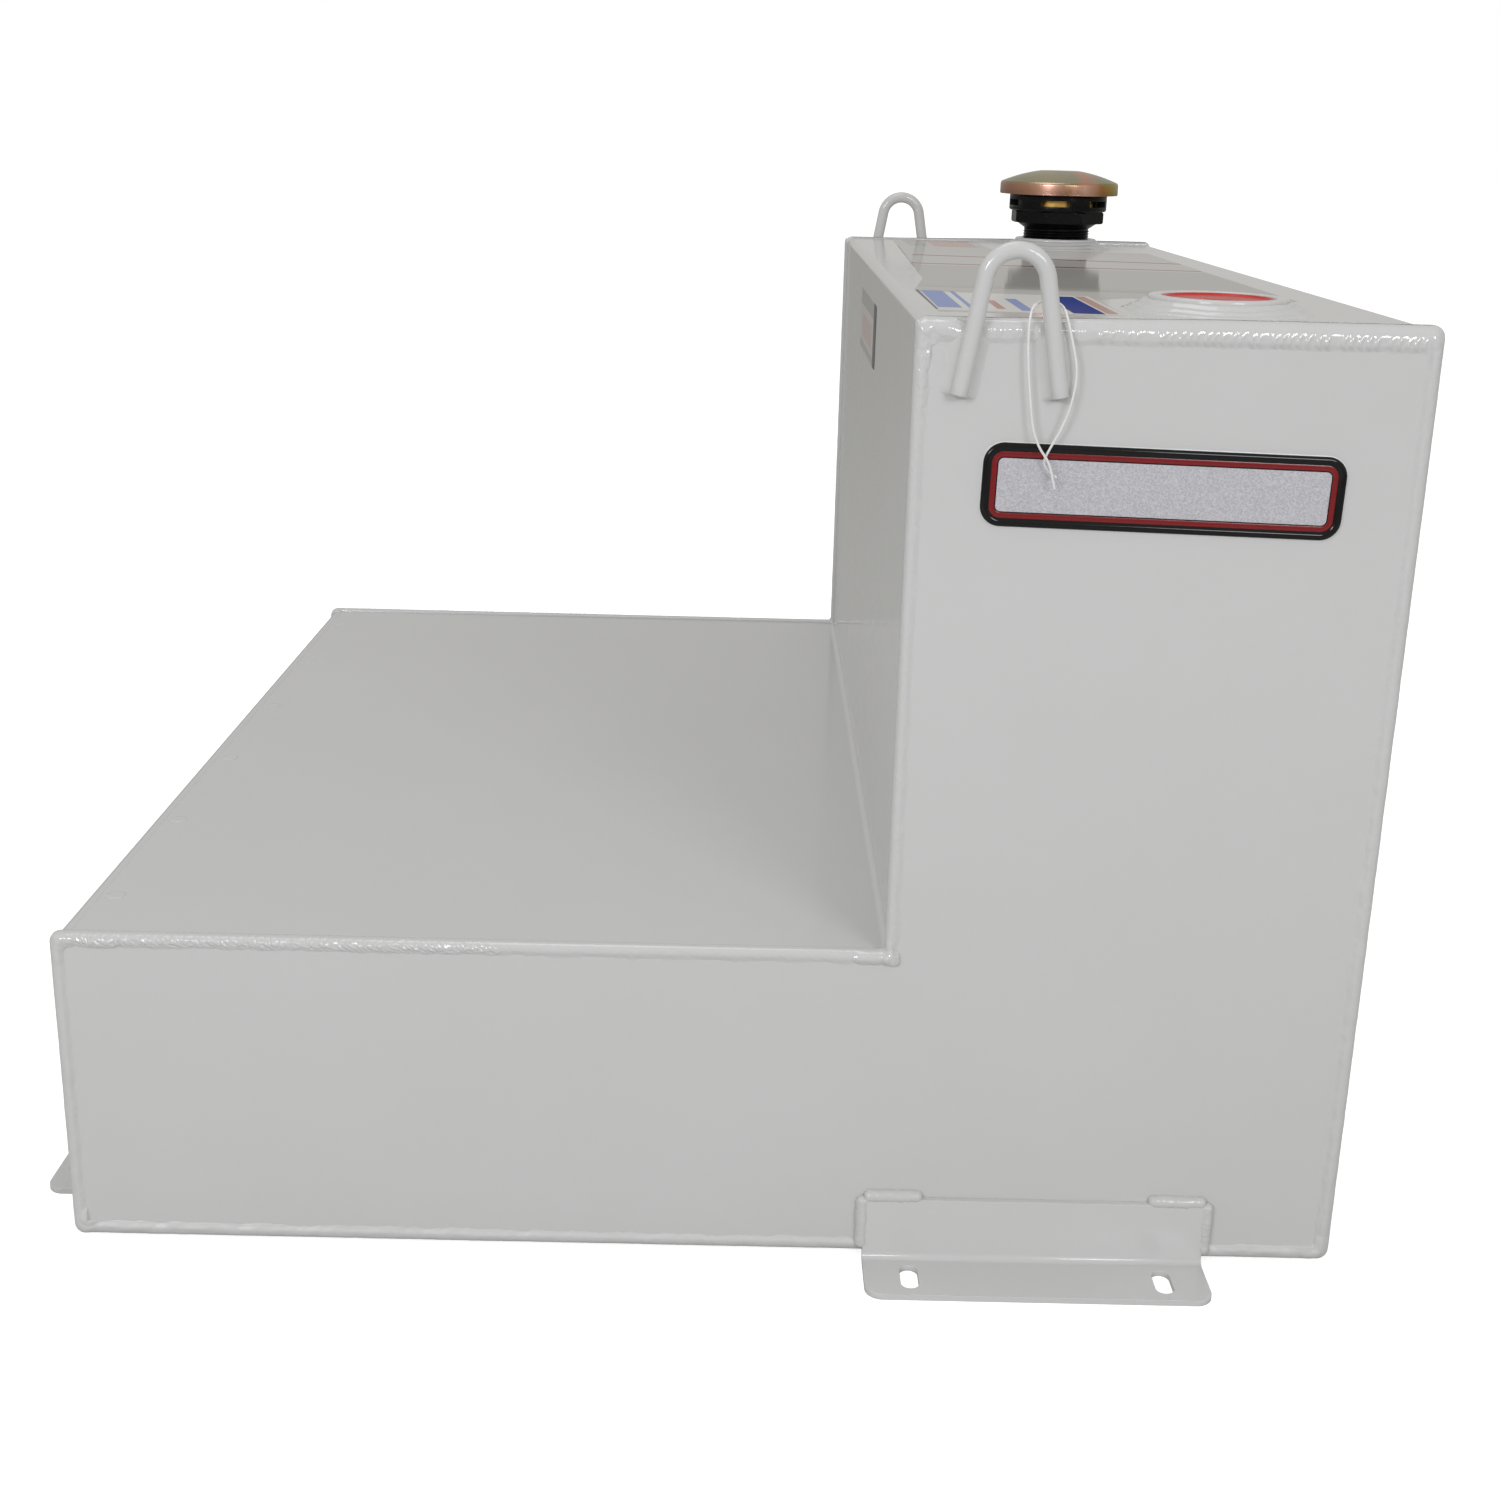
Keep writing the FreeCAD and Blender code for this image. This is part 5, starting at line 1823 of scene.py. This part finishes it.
@dataclass
class FillNeck(Assembly):
    """Black adapter with its thread and wrench ring, the vent ring, the metal sleeve and the cap.

    Attributes:
        size: Planes of the tank.
        rods: Tree that sweeps the thread.
        thread: Radius of the thread's crests.
        thread_core: Radius of its roots.
        thread_pitch: Its pitch.
        collar: Radius of the tapered collar's upper end.
        wrench: Radius of the wrench ring.
        sides: Number of its flats.
        bore: Radius of the bore.
        seat_bore: Radius of the counterbore under the sleeve.
        spigot: Radius of the spigot that the vent ring sits on.
        liner: Inner and outer radius of the black wall behind the side and back windows, painted shade
            that keeps them dark.
        liner_turn: Angles where that wall starts and ends.
        cap: Radius of the cap.
        rim: Height of the cap's upright rim.
        wall: Thickness of the cap's sheet.
    """

    size: TankSize
    rods: RodTree
    thread: float = 29.3 * MM
    thread_core: float = 28.35 * MM
    thread_pitch: float = 2.2 * MM
    collar: float = 35.6 * MM
    wrench: float = 42.0 * MM
    sides: int = 8
    bore: float = 24.0 * MM
    seat_bore: float = 34.1 * MM
    spigot: float = 37.9 * MM
    liner: Pair = (36.0 * MM, 37.7 * MM)
    liner_turn: Pair = (math.radians(-37), math.radians(216))
    cap: float = 52.0 * MM
    rim: float = 11.2 * MM
    wall: float = 1.2 * MM

    def heights(self) -> tuple[float, float, float, float]:
        """Ring top, collar foot, wrench ring's underside and its top.

        Returns:
            The four heights.
        """
        ring = self.size.top_z + RING_RISE
        collar = ring + 8.9 * MM
        wrench = collar + 4.5 * MM
        return ring, collar, wrench, wrench + 10.3 * MM

    def body(self) -> Object:
        """Adapter body below the vent ring.

        Returns:
            The adapter.
        """
        ring, collar, wrench, split = self.heights()
        foot, lip, seat = ring - 12 * MM, split + 2.7 * MM, split - 8.3 * MM
        chamfer, wide, spigot = 1.2 * MM, self.wrench, self.spigot
        profile = [(self.bore, foot), (self.thread_core, foot), (self.thread_core, collar - 0.3 * MM),
                   (self.thread, collar + 0.2 * MM), (self.collar, wrench), (wide - chamfer, wrench),
                   (wide, wrench + chamfer), (wide, split - chamfer), (wide - 2 * chamfer, split),
                   (spigot, split), (spigot, lip), (spigot - 2 * MM, lip), (spigot - 2 * MM, split),
                   (self.seat_bore, split), (self.seat_bore, seat), (self.bore, seat)]
        fine = Build.rounded(profile + profile[:2], 0.35 * MM, 2)[1:-1]

        def flats(angle: float, height: float) -> float:
            """Radius of the flats between the wrench ring's faces, and no limit elsewhere.

            Args:
                angle: Angle round the axis.
                height: Height of the corner.

            Returns:
                Most that the radius may be.
            """
            if not wrench - 1e-6 < height < split + 1e-6:
                return 1.0
            turn = 2 * math.pi / self.sides
            from_flat = (angle + turn / 2) % turn - turn / 2
            return wide * math.cos(turn / 2) / math.cos(from_flat)

        return Build.lathe("adapter", fine, FILL_AXIS, 192, flats)

    def window_liner(self) -> Object:
        """Thin black wall behind the side and back windows of the vent ring, painted shade that stands
        in for the dark inside of the ring.

        Returns:
            The wall.
        """
        low, high = self.heights()[3] + 2.5 * MM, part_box("vent_ring")[1].z - 0.6 * MM
        steps = 72
        (inner, outer), (start, end) = self.liner, self.liner_turn
        points = [Build.polar(FILL_AXIS, radius, start + (end - start) * i / steps, height)
                  for i in range(steps + 1)
                  for radius, height in ((inner, low), (outer, low), (outer, high), (inner, high))]
        last = steps * 4
        faces = Build.grid_faces(steps + 1, 4, False, True)
        faces += [(0, 1, 2, 3), (last + 3, last + 2, last + 1, last)]
        return Build.solid("window_liner", points, faces)

    def helix(self) -> Object:
        """The fine thread.

        Returns:
            The thread.
        """
        ring, collar = self.heights()[:2]
        low, high = ring - 11 * MM, collar - 0.4 * MM
        turns = (high - low) / self.thread_pitch
        count = int(turns * 72)
        path = []
        for i in range(count + 1):
            lead = min(1.0, i / 40, (count - i) / 40)
            spot = Build.polar(FILL_AXIS, self.thread_core, 2 * math.pi * turns * i / count,
                               low + (high - low) * i / count)
            path.append((spot, (self.thread - self.thread_core) * (0.15 + 0.85 * lead)))
        return self.rods.bake("adapter_thread", [path], 4, BlackPlastic())

    def dome(self) -> Object:
        """Domed cap with a flat crown, a rolled foot and a hem.

        Returns:
            The cap.
        """
        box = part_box("cap_shell")
        skirt, crown = box[0].z, box[1].z
        edge, wall, rim = self.cap, self.wall, skirt + self.rim
        flat, shoulder, bow, hem = 17 * MM, 3 * MM, 1.1 * MM, 1.5 * MM
        outer = [(edge - 0.5 * MM, skirt), (edge - 0.1 * MM, skirt + 0.35 * MM), (edge, skirt + wall),
                 (edge, skirt + 4 * MM), (edge, rim - shoulder)]
        for k in range(1, 7):
            angle = math.pi / 2 * k / 6 * 0.86
            outer.append((edge - shoulder + shoulder * math.cos(angle),
                          rim - shoulder + shoulder * math.sin(angle)))
        start = outer[-1]
        for k in range(1, 17):
            t = k / 16
            outer.append((start[0] + (flat - start[0]) * t,
                          start[1] + (crown - start[1]) * t + bow * 4 * t * (1 - t)))
        outer += [(flat - 1.2 * MM, crown - 0.02 * MM), (flat - 4 * MM, crown), (0.0, crown)]
        inner = [(0.0, crown - wall), (flat, crown - wall), (edge - shoulder, rim - 0.9 * MM),
                 (edge - wall, rim - 3 * MM), (edge - wall, skirt + wall),
                 (edge - wall - hem, skirt + wall), (edge - wall - hem, skirt)]
        return Build.lathe("cap_dome", outer + inner, FILL_AXIS, 192)

    def build(self) -> None:
        """Make the neck and the cap."""
        black = BlackPlastic()
        # The window wall is painted shade: a black sheet that darkens the vent ring's windows.
        for piece, replaced in ((self.body(), ["adapter_body"]), (self.helix(), ()),
                                (self.window_liner(), ()),
                                (Build.copy("vented_ring", "vent_ring", 0.35 * MM), ["vent_ring"])):
            self.place(piece, "tank", black, replaced, BLACK)
        sleeve = Build.copy("sleeve", "neck_sleeve", 0.15 * MM)
        self.place(sleeve, "tank", GoldSleeve(), ["neck_sleeve"], ZINC)
        self.place(self.dome(), "cap", YellowZinc(), ["cap_shell"], ZINC)


@dataclass
class PumpPlug(Assembly):
    """Red push-in plug with a rounded rim and a dished face.

    Attributes:
        size: Planes of the tank.
        disc: Radius of its head.
        stem: Radius of its stem.
        rim: Width of the head's rim.
        dish: Depth of the face under it.
        seat: Height of the head's underside over the top sheet.
    """

    size: TankSize
    disc: float = 32.6 * MM
    stem: float = 28.3 * MM
    rim: float = 2.2 * MM
    dish: float = 1.3 * MM
    seat: float = 5.6 * MM

    def build(self) -> None:
        """Turn the plug."""
        low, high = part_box("shipping_plug")
        top, disc, stem, seat = high.z, self.disc, self.stem, self.size.top_z + self.seat
        face = top - self.dish
        profile = [(0.0, face - 1.8 * MM), (stem - 2.3 * MM, face - 1.8 * MM), (stem - 2.5 * MM, low.z),
                   (stem - 0.7 * MM, low.z), (stem, seat), (disc, seat), (disc, top),
                   (disc - self.rim, top), (disc - self.rim - 0.8 * MM, face), (9.0 * MM, face),
                   (8.2 * MM, face + 0.4 * MM), (0.0, face + 0.4 * MM)]
        fine = Build.rounded(profile, 0.6 * MM, 3)
        piece = Build.lathe("push_in_plug", fine, (PORT_X, -PORT_Y), 128)
        self.place(piece, "plug", RedPlastic(), ["shipping_plug"], "red_plastic")


# Badge and labels

@dataclass(frozen=True)
class Plate:
    """Rounded rectangle on a wall, made of rings at several insets.

    Attributes:
        centre: Its middle on the wall.
        across: Unit vector of its long side.
        up: Unit vector of its short side.
        out: Unit vector away from the wall.
        half_width: Half of the long side.
        half_height: Half of the short side.
        corner: Radius of its corners.
    """

    centre: Vector
    across: Vector
    up: Vector
    out: Vector
    half_width: float
    half_height: float
    corner: float

    def ring(self, inset: float, height: float, steps: int = 10) -> list[Vector]:
        """Outline above the wall.

        Args:
            inset: Distance inwards from the edge.
            height: Height above the wall.
            steps: Spans in each corner.

        Returns:
            Its points.
        """
        radius = max(self.corner - inset, 1.2 * MM)
        w, h = self.half_width - inset - radius, self.half_height - inset - radius
        points = []
        for k, (sx, sy) in enumerate(((1, 1), (-1, 1), (-1, -1), (1, -1))):
            for i in range(steps + 1):
                angle = math.pi / 2 * (k + i / steps)
                a, b = sx * w + radius * math.cos(angle), sy * h + radius * math.sin(angle)
                points.append(self.centre + self.across * a + self.up * b + self.out * height)
        return points

    def band(self, name: str, profile: Sequence[Pair]) -> Object:
        """Closed frame swept round the outline.

        Args:
            name: Name of the piece.
            profile: Inset and height of each corner of its section.

        Returns:
            The piece.
        """
        rings = [self.ring(inset, height) for inset, height in profile]
        points = [p for ring in rings for p in ring]
        faces = Build.grid_faces(len(rings), len(rings[0]), True, True)
        return Build.solid(name, points, faces)

    def plate(self, name: str, inset: float, low: float, high: float) -> Object:
        """Flat plate with closed faces.

        Args:
            name: Name of the piece.
            inset: Distance inwards from the edge.
            low: Height of its back above the wall.
            high: Height of its face.

        Returns:
            The piece.
        """
        rings = [self.ring(inset, low), self.ring(inset, high)]
        count = len(rings[0])
        faces = Build.grid_faces(2, count, False, True)
        faces += [tuple(range(count)), tuple(range(count, 2 * count))]
        return Build.solid(name, rings[0] + rings[1], faces)


@dataclass
class Badge(Assembly):
    """Bare domed badge on the near face: black rim, red line, inner line and silver field.

    Attributes:
        size: Planes of the tank.
        x: Its middle along X.
        z: Its middle along Z.
        tilt: Its lean on the face.
        half: Half of its width and of its height.
        corner: Radius of its corners.
        field: Distance of the silver field from the edge.
    """

    size: TankSize
    x: float = 266.1 * MM
    z: float = 490.2 * MM
    tilt: float = math.radians(-1.2)
    half: Pair = (101.0 * MM, 23.4 * MM)
    corner: float = 11.5 * MM
    field: float = 8.5 * MM

    def build(self) -> None:
        """Make its pieces."""
        across = Vector((math.cos(self.tilt), 0.0, math.sin(self.tilt)))
        up = Vector((-math.sin(self.tilt), 0.0, math.cos(self.tilt)))
        plate = Plate(Vector((self.x, self.size.near_y, self.z)), across, up, Vector((0, -1, 0)),
                      *self.half, self.corner)
        # A thin band just outside the black rim, whiter than the tank's paint.
        white = PowderCoat(name="badge_border_white", pale=(0.80, 0.80, 0.80, 1.0),
                           dull=(0.76, 0.76, 0.76, 1.0))
        for name, finish, profile in (
            ("badge_rim", BadgeRim(), (
                (0.0, 0.05), (0.0, 0.9), (0.4, 1.7), (1.2, 2.2), (2.3, 2.4), (3.3, 2.2), (4.2, 1.7),
                (4.8, 1.1), (4.8, 0.05))),
            ("badge_line", BadgeRed(), (
                (4.8, 0.05), (4.8, 1.0), (5.2, 1.15), (7.6, 1.15), (7.9, 1.0), (7.9, 0.05))),
            ("badge_inner_line", BadgeRim(), ((7.9, 0.05), (7.9, 1.1), (8.5, 1.1), (8.5, 0.05))),
            ("badge_border", white, (
                (-0.5, -0.05), (-0.5, 0.25), (-0.3, 0.35), (0.1, 0.35), (0.1, -0.05))),
        ):
            self.place(plate.band(name, [(a * MM, b * MM) for a, b in profile]), "tank", finish)
        self.place(plate.plate("badge_field", self.field, 0.05 * MM, 1.0 * MM), "tank", BadgeField())


@dataclass(frozen=True)
class Field:
    """One plain field of colour on a label.

    Attributes:
        low: Its lower corner, in the label's two directions.
        high: Its upper corner.
        colour: Its colour.
        tilt: Fall of its second direction along the first.
        lean: Fall of its first direction along the second.
    """

    low: Pair
    high: Pair
    colour: Colour
    tilt: float = 0.0
    lean: float = 0.0


@dataclass(frozen=True)
class LabelFilm(Finish):
    """Clear or tinted film with plain fields of colour and no print.

    Attributes:
        name: Name of the material.
        ground: Colour of the film over the paint.
        fields: Its fields, later ones on top.
        first: Axis of the fields' first direction, 0 for X and 1 for Y.
        second: Axis of their second direction, 1 for Y and 2 for Z.
        gloss: Share of the surface that shines.
        dull_below: Y below which the film is printed paper and shines less.
        edge: Half of the soft edge of a field.
    """

    name: str
    ground: Colour
    fields: tuple[Field, ...]
    first: int
    second: int
    gloss: float = 0.6
    dull_below: float = -190 * MM
    edge: float = 0.3 * MM

    def dress(self, shader: ShaderGraph) -> Material:
        """Lay the fields on the film.

        Args:
            shader: The material's empty tree.

        Returns:
            The material.
        """
        place = shader.place()
        axes = shader.axes(place)
        along, across = axes[self.first], axes[self.second]
        tone = shader.noise(place, 40.0, 2.0)
        colour = shader.mix(tone, self.ground, tuple(0.94 * v for v in self.ground[:3]) + (1.0,))
        for field in self.fields:
            a, b = along + across * field.lean, across + along * field.tilt
            inside = (a.between(field.low[0], field.high[0], self.edge)
                      * b.between(field.low[1], field.high[1], self.edge))
            colour = shader.mix(inside, colour, field.colour)
        gloss = shader.node("ShaderNodeBsdfPrincipled", sockets={
            "Base Color": colour,
            "Roughness": 0.05 + 0.04 * tone,
            "Normal": shader.bump(shader.noise(place, 26.0, 1.0), 0.02 * MM),
        })
        matt = shader.node("ShaderNodeBsdfPrincipled", sockets={
            "Base Color": colour, "Roughness": 0.6, "Specular IOR Level": 0.0})
        share = self.gloss * (0.3 + 0.7 * axes[1].above(self.dull_below, 30 * MM))
        shared = shader.node("ShaderNodeMixShader", sockets={0: share, 1: matt, 2: gloss})
        shader.node("ShaderNodeOutputMaterial", sockets={"Surface": shared})
        return shader.material


@dataclass
class Labels(Assembly):
    """Film label on the top sheet and a small label on the step wall, both with bare fields."""

    size: TankSize

    def top_film(self) -> Object:
        """Outline of the film on the top, as a thin plate.

        Returns:
            The film.
        """
        outline = [(141, -374), (247, -374), (249, -262), (268, -246), (379, -240), (381, 262),
                   (246, 264), (242, 394), (168, 396), (154, -110), (140, -216)]
        low, high = self.size.top_z - 0.1 * MM, self.size.top_z + 0.12 * MM
        count = len(outline)
        points = [Vector((x * MM, y * MM, z)) for z in (low, high) for x, y in outline]
        faces = [tuple(range(count)), tuple(range(count, 2 * count))]
        faces += [(i, (i + 1) % count, count + (i + 1) % count, count + i) for i in range(count)]
        return Build.solid("top_film", points, faces)

    def build(self) -> None:
        """Make both labels."""
        grey, blue, deep = (0.42, 0.41, 0.38, 1.0), (0.28, 0.34, 0.55, 1.0), (0.03, 0.06, 0.26, 1.0)
        pink, red, white = (0.50, 0.33, 0.30, 1.0), (0.22, 0.03, 0.03, 1.0), (0.66, 0.65, 0.62, 1.0)
        edge = (0.22, 0.20, 0.19, 1.0)
        slope = 0.085
        on_top = (
            (143, -178, 378, 48, grey, slope), (140, -352, 247, -218, white, slope),
            (143, -333, 157, -208, blue, slope), (161, -333, 164, -208, blue, slope),
            (177, -333, 182, -272, pink, slope), (190, -341, 197, -257, blue, slope),
            (218, -348, 236, -226, deep, slope), (237.5, -345, 244, -222, pink, slope),
            (198, 308, 236, 405, pink, slope), (176, 308, 192, 405, grey, slope),
            (168, 187, 382, 196, red, 0.187), (154, 61, 378, 69, red, 0.081),
            (156.2, -110, 157.2, 292, edge, 0.0, -0.03056),
            (168.2, -217, 169.2, -110, edge, 0.0, -0.1402), (138.0, -359, 142.0, -217, edge),
        )
        on_step = (
            (-60, 544, 150, 560, (0.40, 0.39, 0.37, 1.0)), (0, 520, 120, 538, (0.56, 0.44, 0.42, 1.0)),
            (-60, 500, 150, 516, (0.42, 0.41, 0.40, 1.0)),
            (-60, 500, -20, 560, (0.02, 0.02, 0.022, 1.0)),
        )
        top, step = (tuple(Field((a * MM, b * MM), (c * MM, d * MM), *rest)
                           for a, b, c, d, *rest in rows) for rows in (on_top, on_step))
        film = LabelFilm("clear_film", (0.53, 0.51, 0.48, 1.0), top, 0, 1)
        paper = LabelFilm("step_label_film", (0.60, 0.56, 0.54, 1.0), step, 1, 2)
        self.place(self.top_film(), "tank", film)
        plate = Plate(Vector((self.size.step_x, 48 * MM, 533 * MM)), Vector((0, 1, 0)),
                      Vector((0, 0, 1)), Vector((-1, 0, 0)), 93 * MM, 23 * MM, 5 * MM)
        self.place(plate.plate("step_label", 0.0, -0.1 * MM, 0.25 * MM), "tank", paper)


@dataclass
class Cord(Assembly):
    """Tag tie: a thin nylon strap looped round one leg of the near lifting loop."""

    size: TankSize
    leg_x: float = 177.0 * MM
    diameter: float = 1.4 * MM
    length: float = 220.4 * MM

    def route(self) -> list[Vector]:
        """Points of the strap: tail, knot, up, round the leg and back down.

        Returns:
            The points in order.
        """
        x, y, z = self.leg_x / MM, self.size.near_y / MM, self.size.top_z / MM
        steps = (
            (27.8, -6.6, -90.0), (25.9, -6.9, -82.5), (23.2, -7.3, -74.5), (17.6, -7.0, -67.5),
            (13.6, -6.4, -57.5), (11.6, -6.0, -44.0), (9.6, -5.8, -29.0), (8.2, -5.8, -13.5),
            (8.0, -5.2, 0.5), (10.2, -1.6, 9.4), (19.0, 1.8, 10.6), (26.6, -1.2, 9.2),
            (29.6, -5.0, -0.5), (32.6, -5.8, -12.0), (35.9, -6.2, -25.5), (34.6, -6.4, -40.5),
            (30.4, -6.0, -55.0), (24.0, -5.0, -68.0), (20.6, -4.8, -75.5), (24.2, -4.8, -81.0),
            (28.6, -5.0, -84.0),
        )
        return [Vector((x + a, y + b, z + c)) * MM for a, b, c in steps]

    def build(self) -> None:
        """Make the strap as one smooth curve."""
        points = self.route()
        data = bpy.data.curves.new("tag_strap", "CURVE")
        data.dimensions = "3D"
        data.bevel_depth = self.diameter / 2
        data.bevel_resolution = 3
        data.resolution_u = 8
        data.use_fill_caps = True
        spline = data.splines.new("NURBS")
        spline.points.add(len(points) - 1)
        for point, place in zip(spline.points, points):
            point.co = (*place, 1.0)
        spline.order_u = 3
        spline.use_endpoint_u = True
        piece = Build.object("tag_strap", data)
        self.place(piece, "tank", TieNylon(), ["tag_tie"], "tie_nylon")


@dataclass
class KeptNodes(Assembly):
    """CAD nodes that get a finish, whether they show or lie hidden under a finer piece."""

    def build(self) -> None:
        """Dress them."""
        self.dress_nodes(PowderCoat(), [
            "tank_wrap", "seam_weld", "near_end_plate", "far_end_plate", "plug_welds",
            "fill_bung", "pump_bung", "fill_bung_weld", "pump_bung_weld",
            "near_lifting_loop", "far_lifting_loop", "near_loop_welds", "far_loop_welds",
            "near_bracket", "far_bracket", "tail_bracket_near", "tail_bracket_far",
            "bracket_welds", "near_end_weld", "far_end_weld"])
        self.dress_nodes(BareSteel(), ["near_baffle", "far_baffle", "gasket_plate", "cap_spring"])
        self.dress_nodes(BlackPlastic(), ["adapter_body", "vent_ring"])
        self.dress_nodes(YellowZinc(), ["neck_sleeve", "cap_shell", "cap_base"])
        self.dress_nodes(Rubber(), ["cap_gasket", "vent_valve"])
        self.dress_nodes(RedPlastic(), ["shipping_plug"])
        self.dress_nodes(TieNylon(), ["tag_tie"])


# Studio

@dataclass(frozen=True)
class Softbox:
    """One area lamp: its place, the point that it faces, its size and its power in watts."""

    name: str
    place: Place
    aim: Place
    width: float
    height: float
    power: float
    colour: Place = (0.94, 0.96, 1.0)

    def build(self) -> None:
        """Put the lamp in the scene."""
        data = bpy.data.lights.new(self.name, "AREA")
        data.shape = "RECTANGLE"
        data.size = self.width
        data.size_y = self.height
        data.energy = self.power
        data.color = self.colour
        lamp = Build.object(self.name, data)
        lamp.location = self.place
        towards = Vector(self.aim) - Vector(self.place)
        lamp.rotation_euler = towards.to_track_quat("-Z", "Y").to_euler()


@dataclass
class Studio(Assembly):
    """Pale floor, white surroundings, softboxes and the camera.

    Attributes:
        eye: Where the camera stands.
        lens: Its focal length in millimetres.
        sensor: Its sensor's width in millimetres.
        yaw: Its turn to the right, in degrees like the next two.
        pitch: Its tilt downwards.
        roll: Its turn about its own axis.
        floor_half: Half of the floor's side.
        floor_glow: Light that the floor shows to the camera alone.
        lamp: Strength of the world as a lamp.
        mirrored: Strength that reflections add.
    """

    eye: Place = (0.032604, -1.499056, 0.676288)
    lens: float = 47.07
    sensor: float = 36.0
    yaw: float = 0.4286
    pitch: float = 17.557
    roll: float = 1.4577
    floor_half: float = 30.0
    floor_glow: float = 0.82
    lamp: float = 0.49
    mirrored: float = 0.05

    def build(self) -> None:
        """Set the whole studio."""
        self.floor()
        self.world()
        for box in (
            Softbox("softbox_right", (1.25, -2.6, 1.55), (0.1, -0.2, 0.35), 0.9, 0.6, 18.5),
            Softbox("softbox_left", (-1.3, -2.6, 1.55), (0.0, -0.2, 0.3), 0.9, 0.6, 23.5),
            Softbox("softbox_above", (-0.3, 0.2, 3.0), (-0.1, 0.0, 0.3), 1.6, 1.2, 12.0),
        ):
            box.build()
        self.camera()
        bpy.context.scene.view_settings.view_transform = "Standard"

    def floor(self) -> None:
        """Flat pale floor under the brackets, white to the camera."""
        half = self.floor_half
        mesh = bpy.data.meshes.new("floor")
        mesh.from_pydata([(-half, -half, 0), (half, -half, 0), (half, half, 0), (-half, half, 0)], [],
                         [(0, 1, 2, 3)])
        piece = Build.object("floor", mesh)
        shader = ShaderGraph("floor_white")
        plain = shader.node("ShaderNodeBsdfDiffuse", sockets={"Color": (0.62, 0.62, 0.61, 1.0)})
        glow = shader.node("ShaderNodeEmission", sockets={
            "Color": (1.0, 1.0, 1.0, 1.0), "Strength": self.floor_glow})
        lit = shader.node("ShaderNodeAddShader", sockets={0: plain, 1: glow})
        path = shader.node("ShaderNodeLightPath")
        whole = shader.node("ShaderNodeMixShader", sockets={0: path, 1: plain, 2: lit})
        shader.node("ShaderNodeOutputMaterial", sockets={"Surface": whole})
        mesh.materials.append(shader.material)

    def world(self) -> None:
        """White to the camera, and dimmer and warmer as a lamp and in reflections."""
        world = bpy.data.worlds.new("studio")
        bpy.context.scene.world = world
        world.use_nodes = True
        graph = Graph(world.node_tree)
        graph.tree.nodes.clear()
        path = graph.node("ShaderNodeLightPath")
        seen = path.maths("MAXIMUM", path, path.sibling("Is Transmission Ray"))
        glossy = path.sibling("Is Glossy Ray")
        strength = self.lamp + (1.0 - self.lamp) * seen + self.mirrored * glossy
        tint = graph.node("ShaderNodeMix", {"data_type": "RGBA"},
                          {0: seen, 6: (1.0, 0.985, 0.95, 1.0), 7: (1.0, 1.0, 1.0, 1.0)}, output=2)
        back = graph.node("ShaderNodeBackground", sockets={"Color": tint, "Strength": strength})
        graph.node("ShaderNodeOutputWorld", sockets={"Surface": back})

    def camera(self) -> None:
        """Camera of the photograph."""
        data = bpy.data.cameras.new("camera")
        data.lens = self.lens
        data.sensor_width = self.sensor
        piece = Build.object("camera", data)
        turn = (Matrix.Rotation(-math.radians(self.yaw), 4, "Z")
                @ Matrix.Rotation(math.radians(90 - self.pitch), 4, "X")
                @ Matrix.Rotation(math.radians(self.roll), 4, "Z"))
        piece.matrix_world = Matrix.Translation(self.eye) @ turn
        bpy.context.scene.camera = piece


def main() -> None:
    """Build the tank's looks in order."""
    logging.basicConfig(level=logging.INFO, format="%(message)s")
    size = TankSize.read()
    weld = WeldTree()
    Studio().build()
    rods = RodTree(level=False)
    thread = RodTree(level=True)
    for assembly in (KeptNodes(), Cord(size), EndBeads(size, weld), LiftingLoops(size, weld, rods),
                     Bungs(size, weld), Brackets(size, weld), PlugWelds(size), FillNeck(size, thread),
                     PumpPlug(size), Badge(size), Labels(size)):
        assembly.build()


if __name__ == "__main__":
    main()
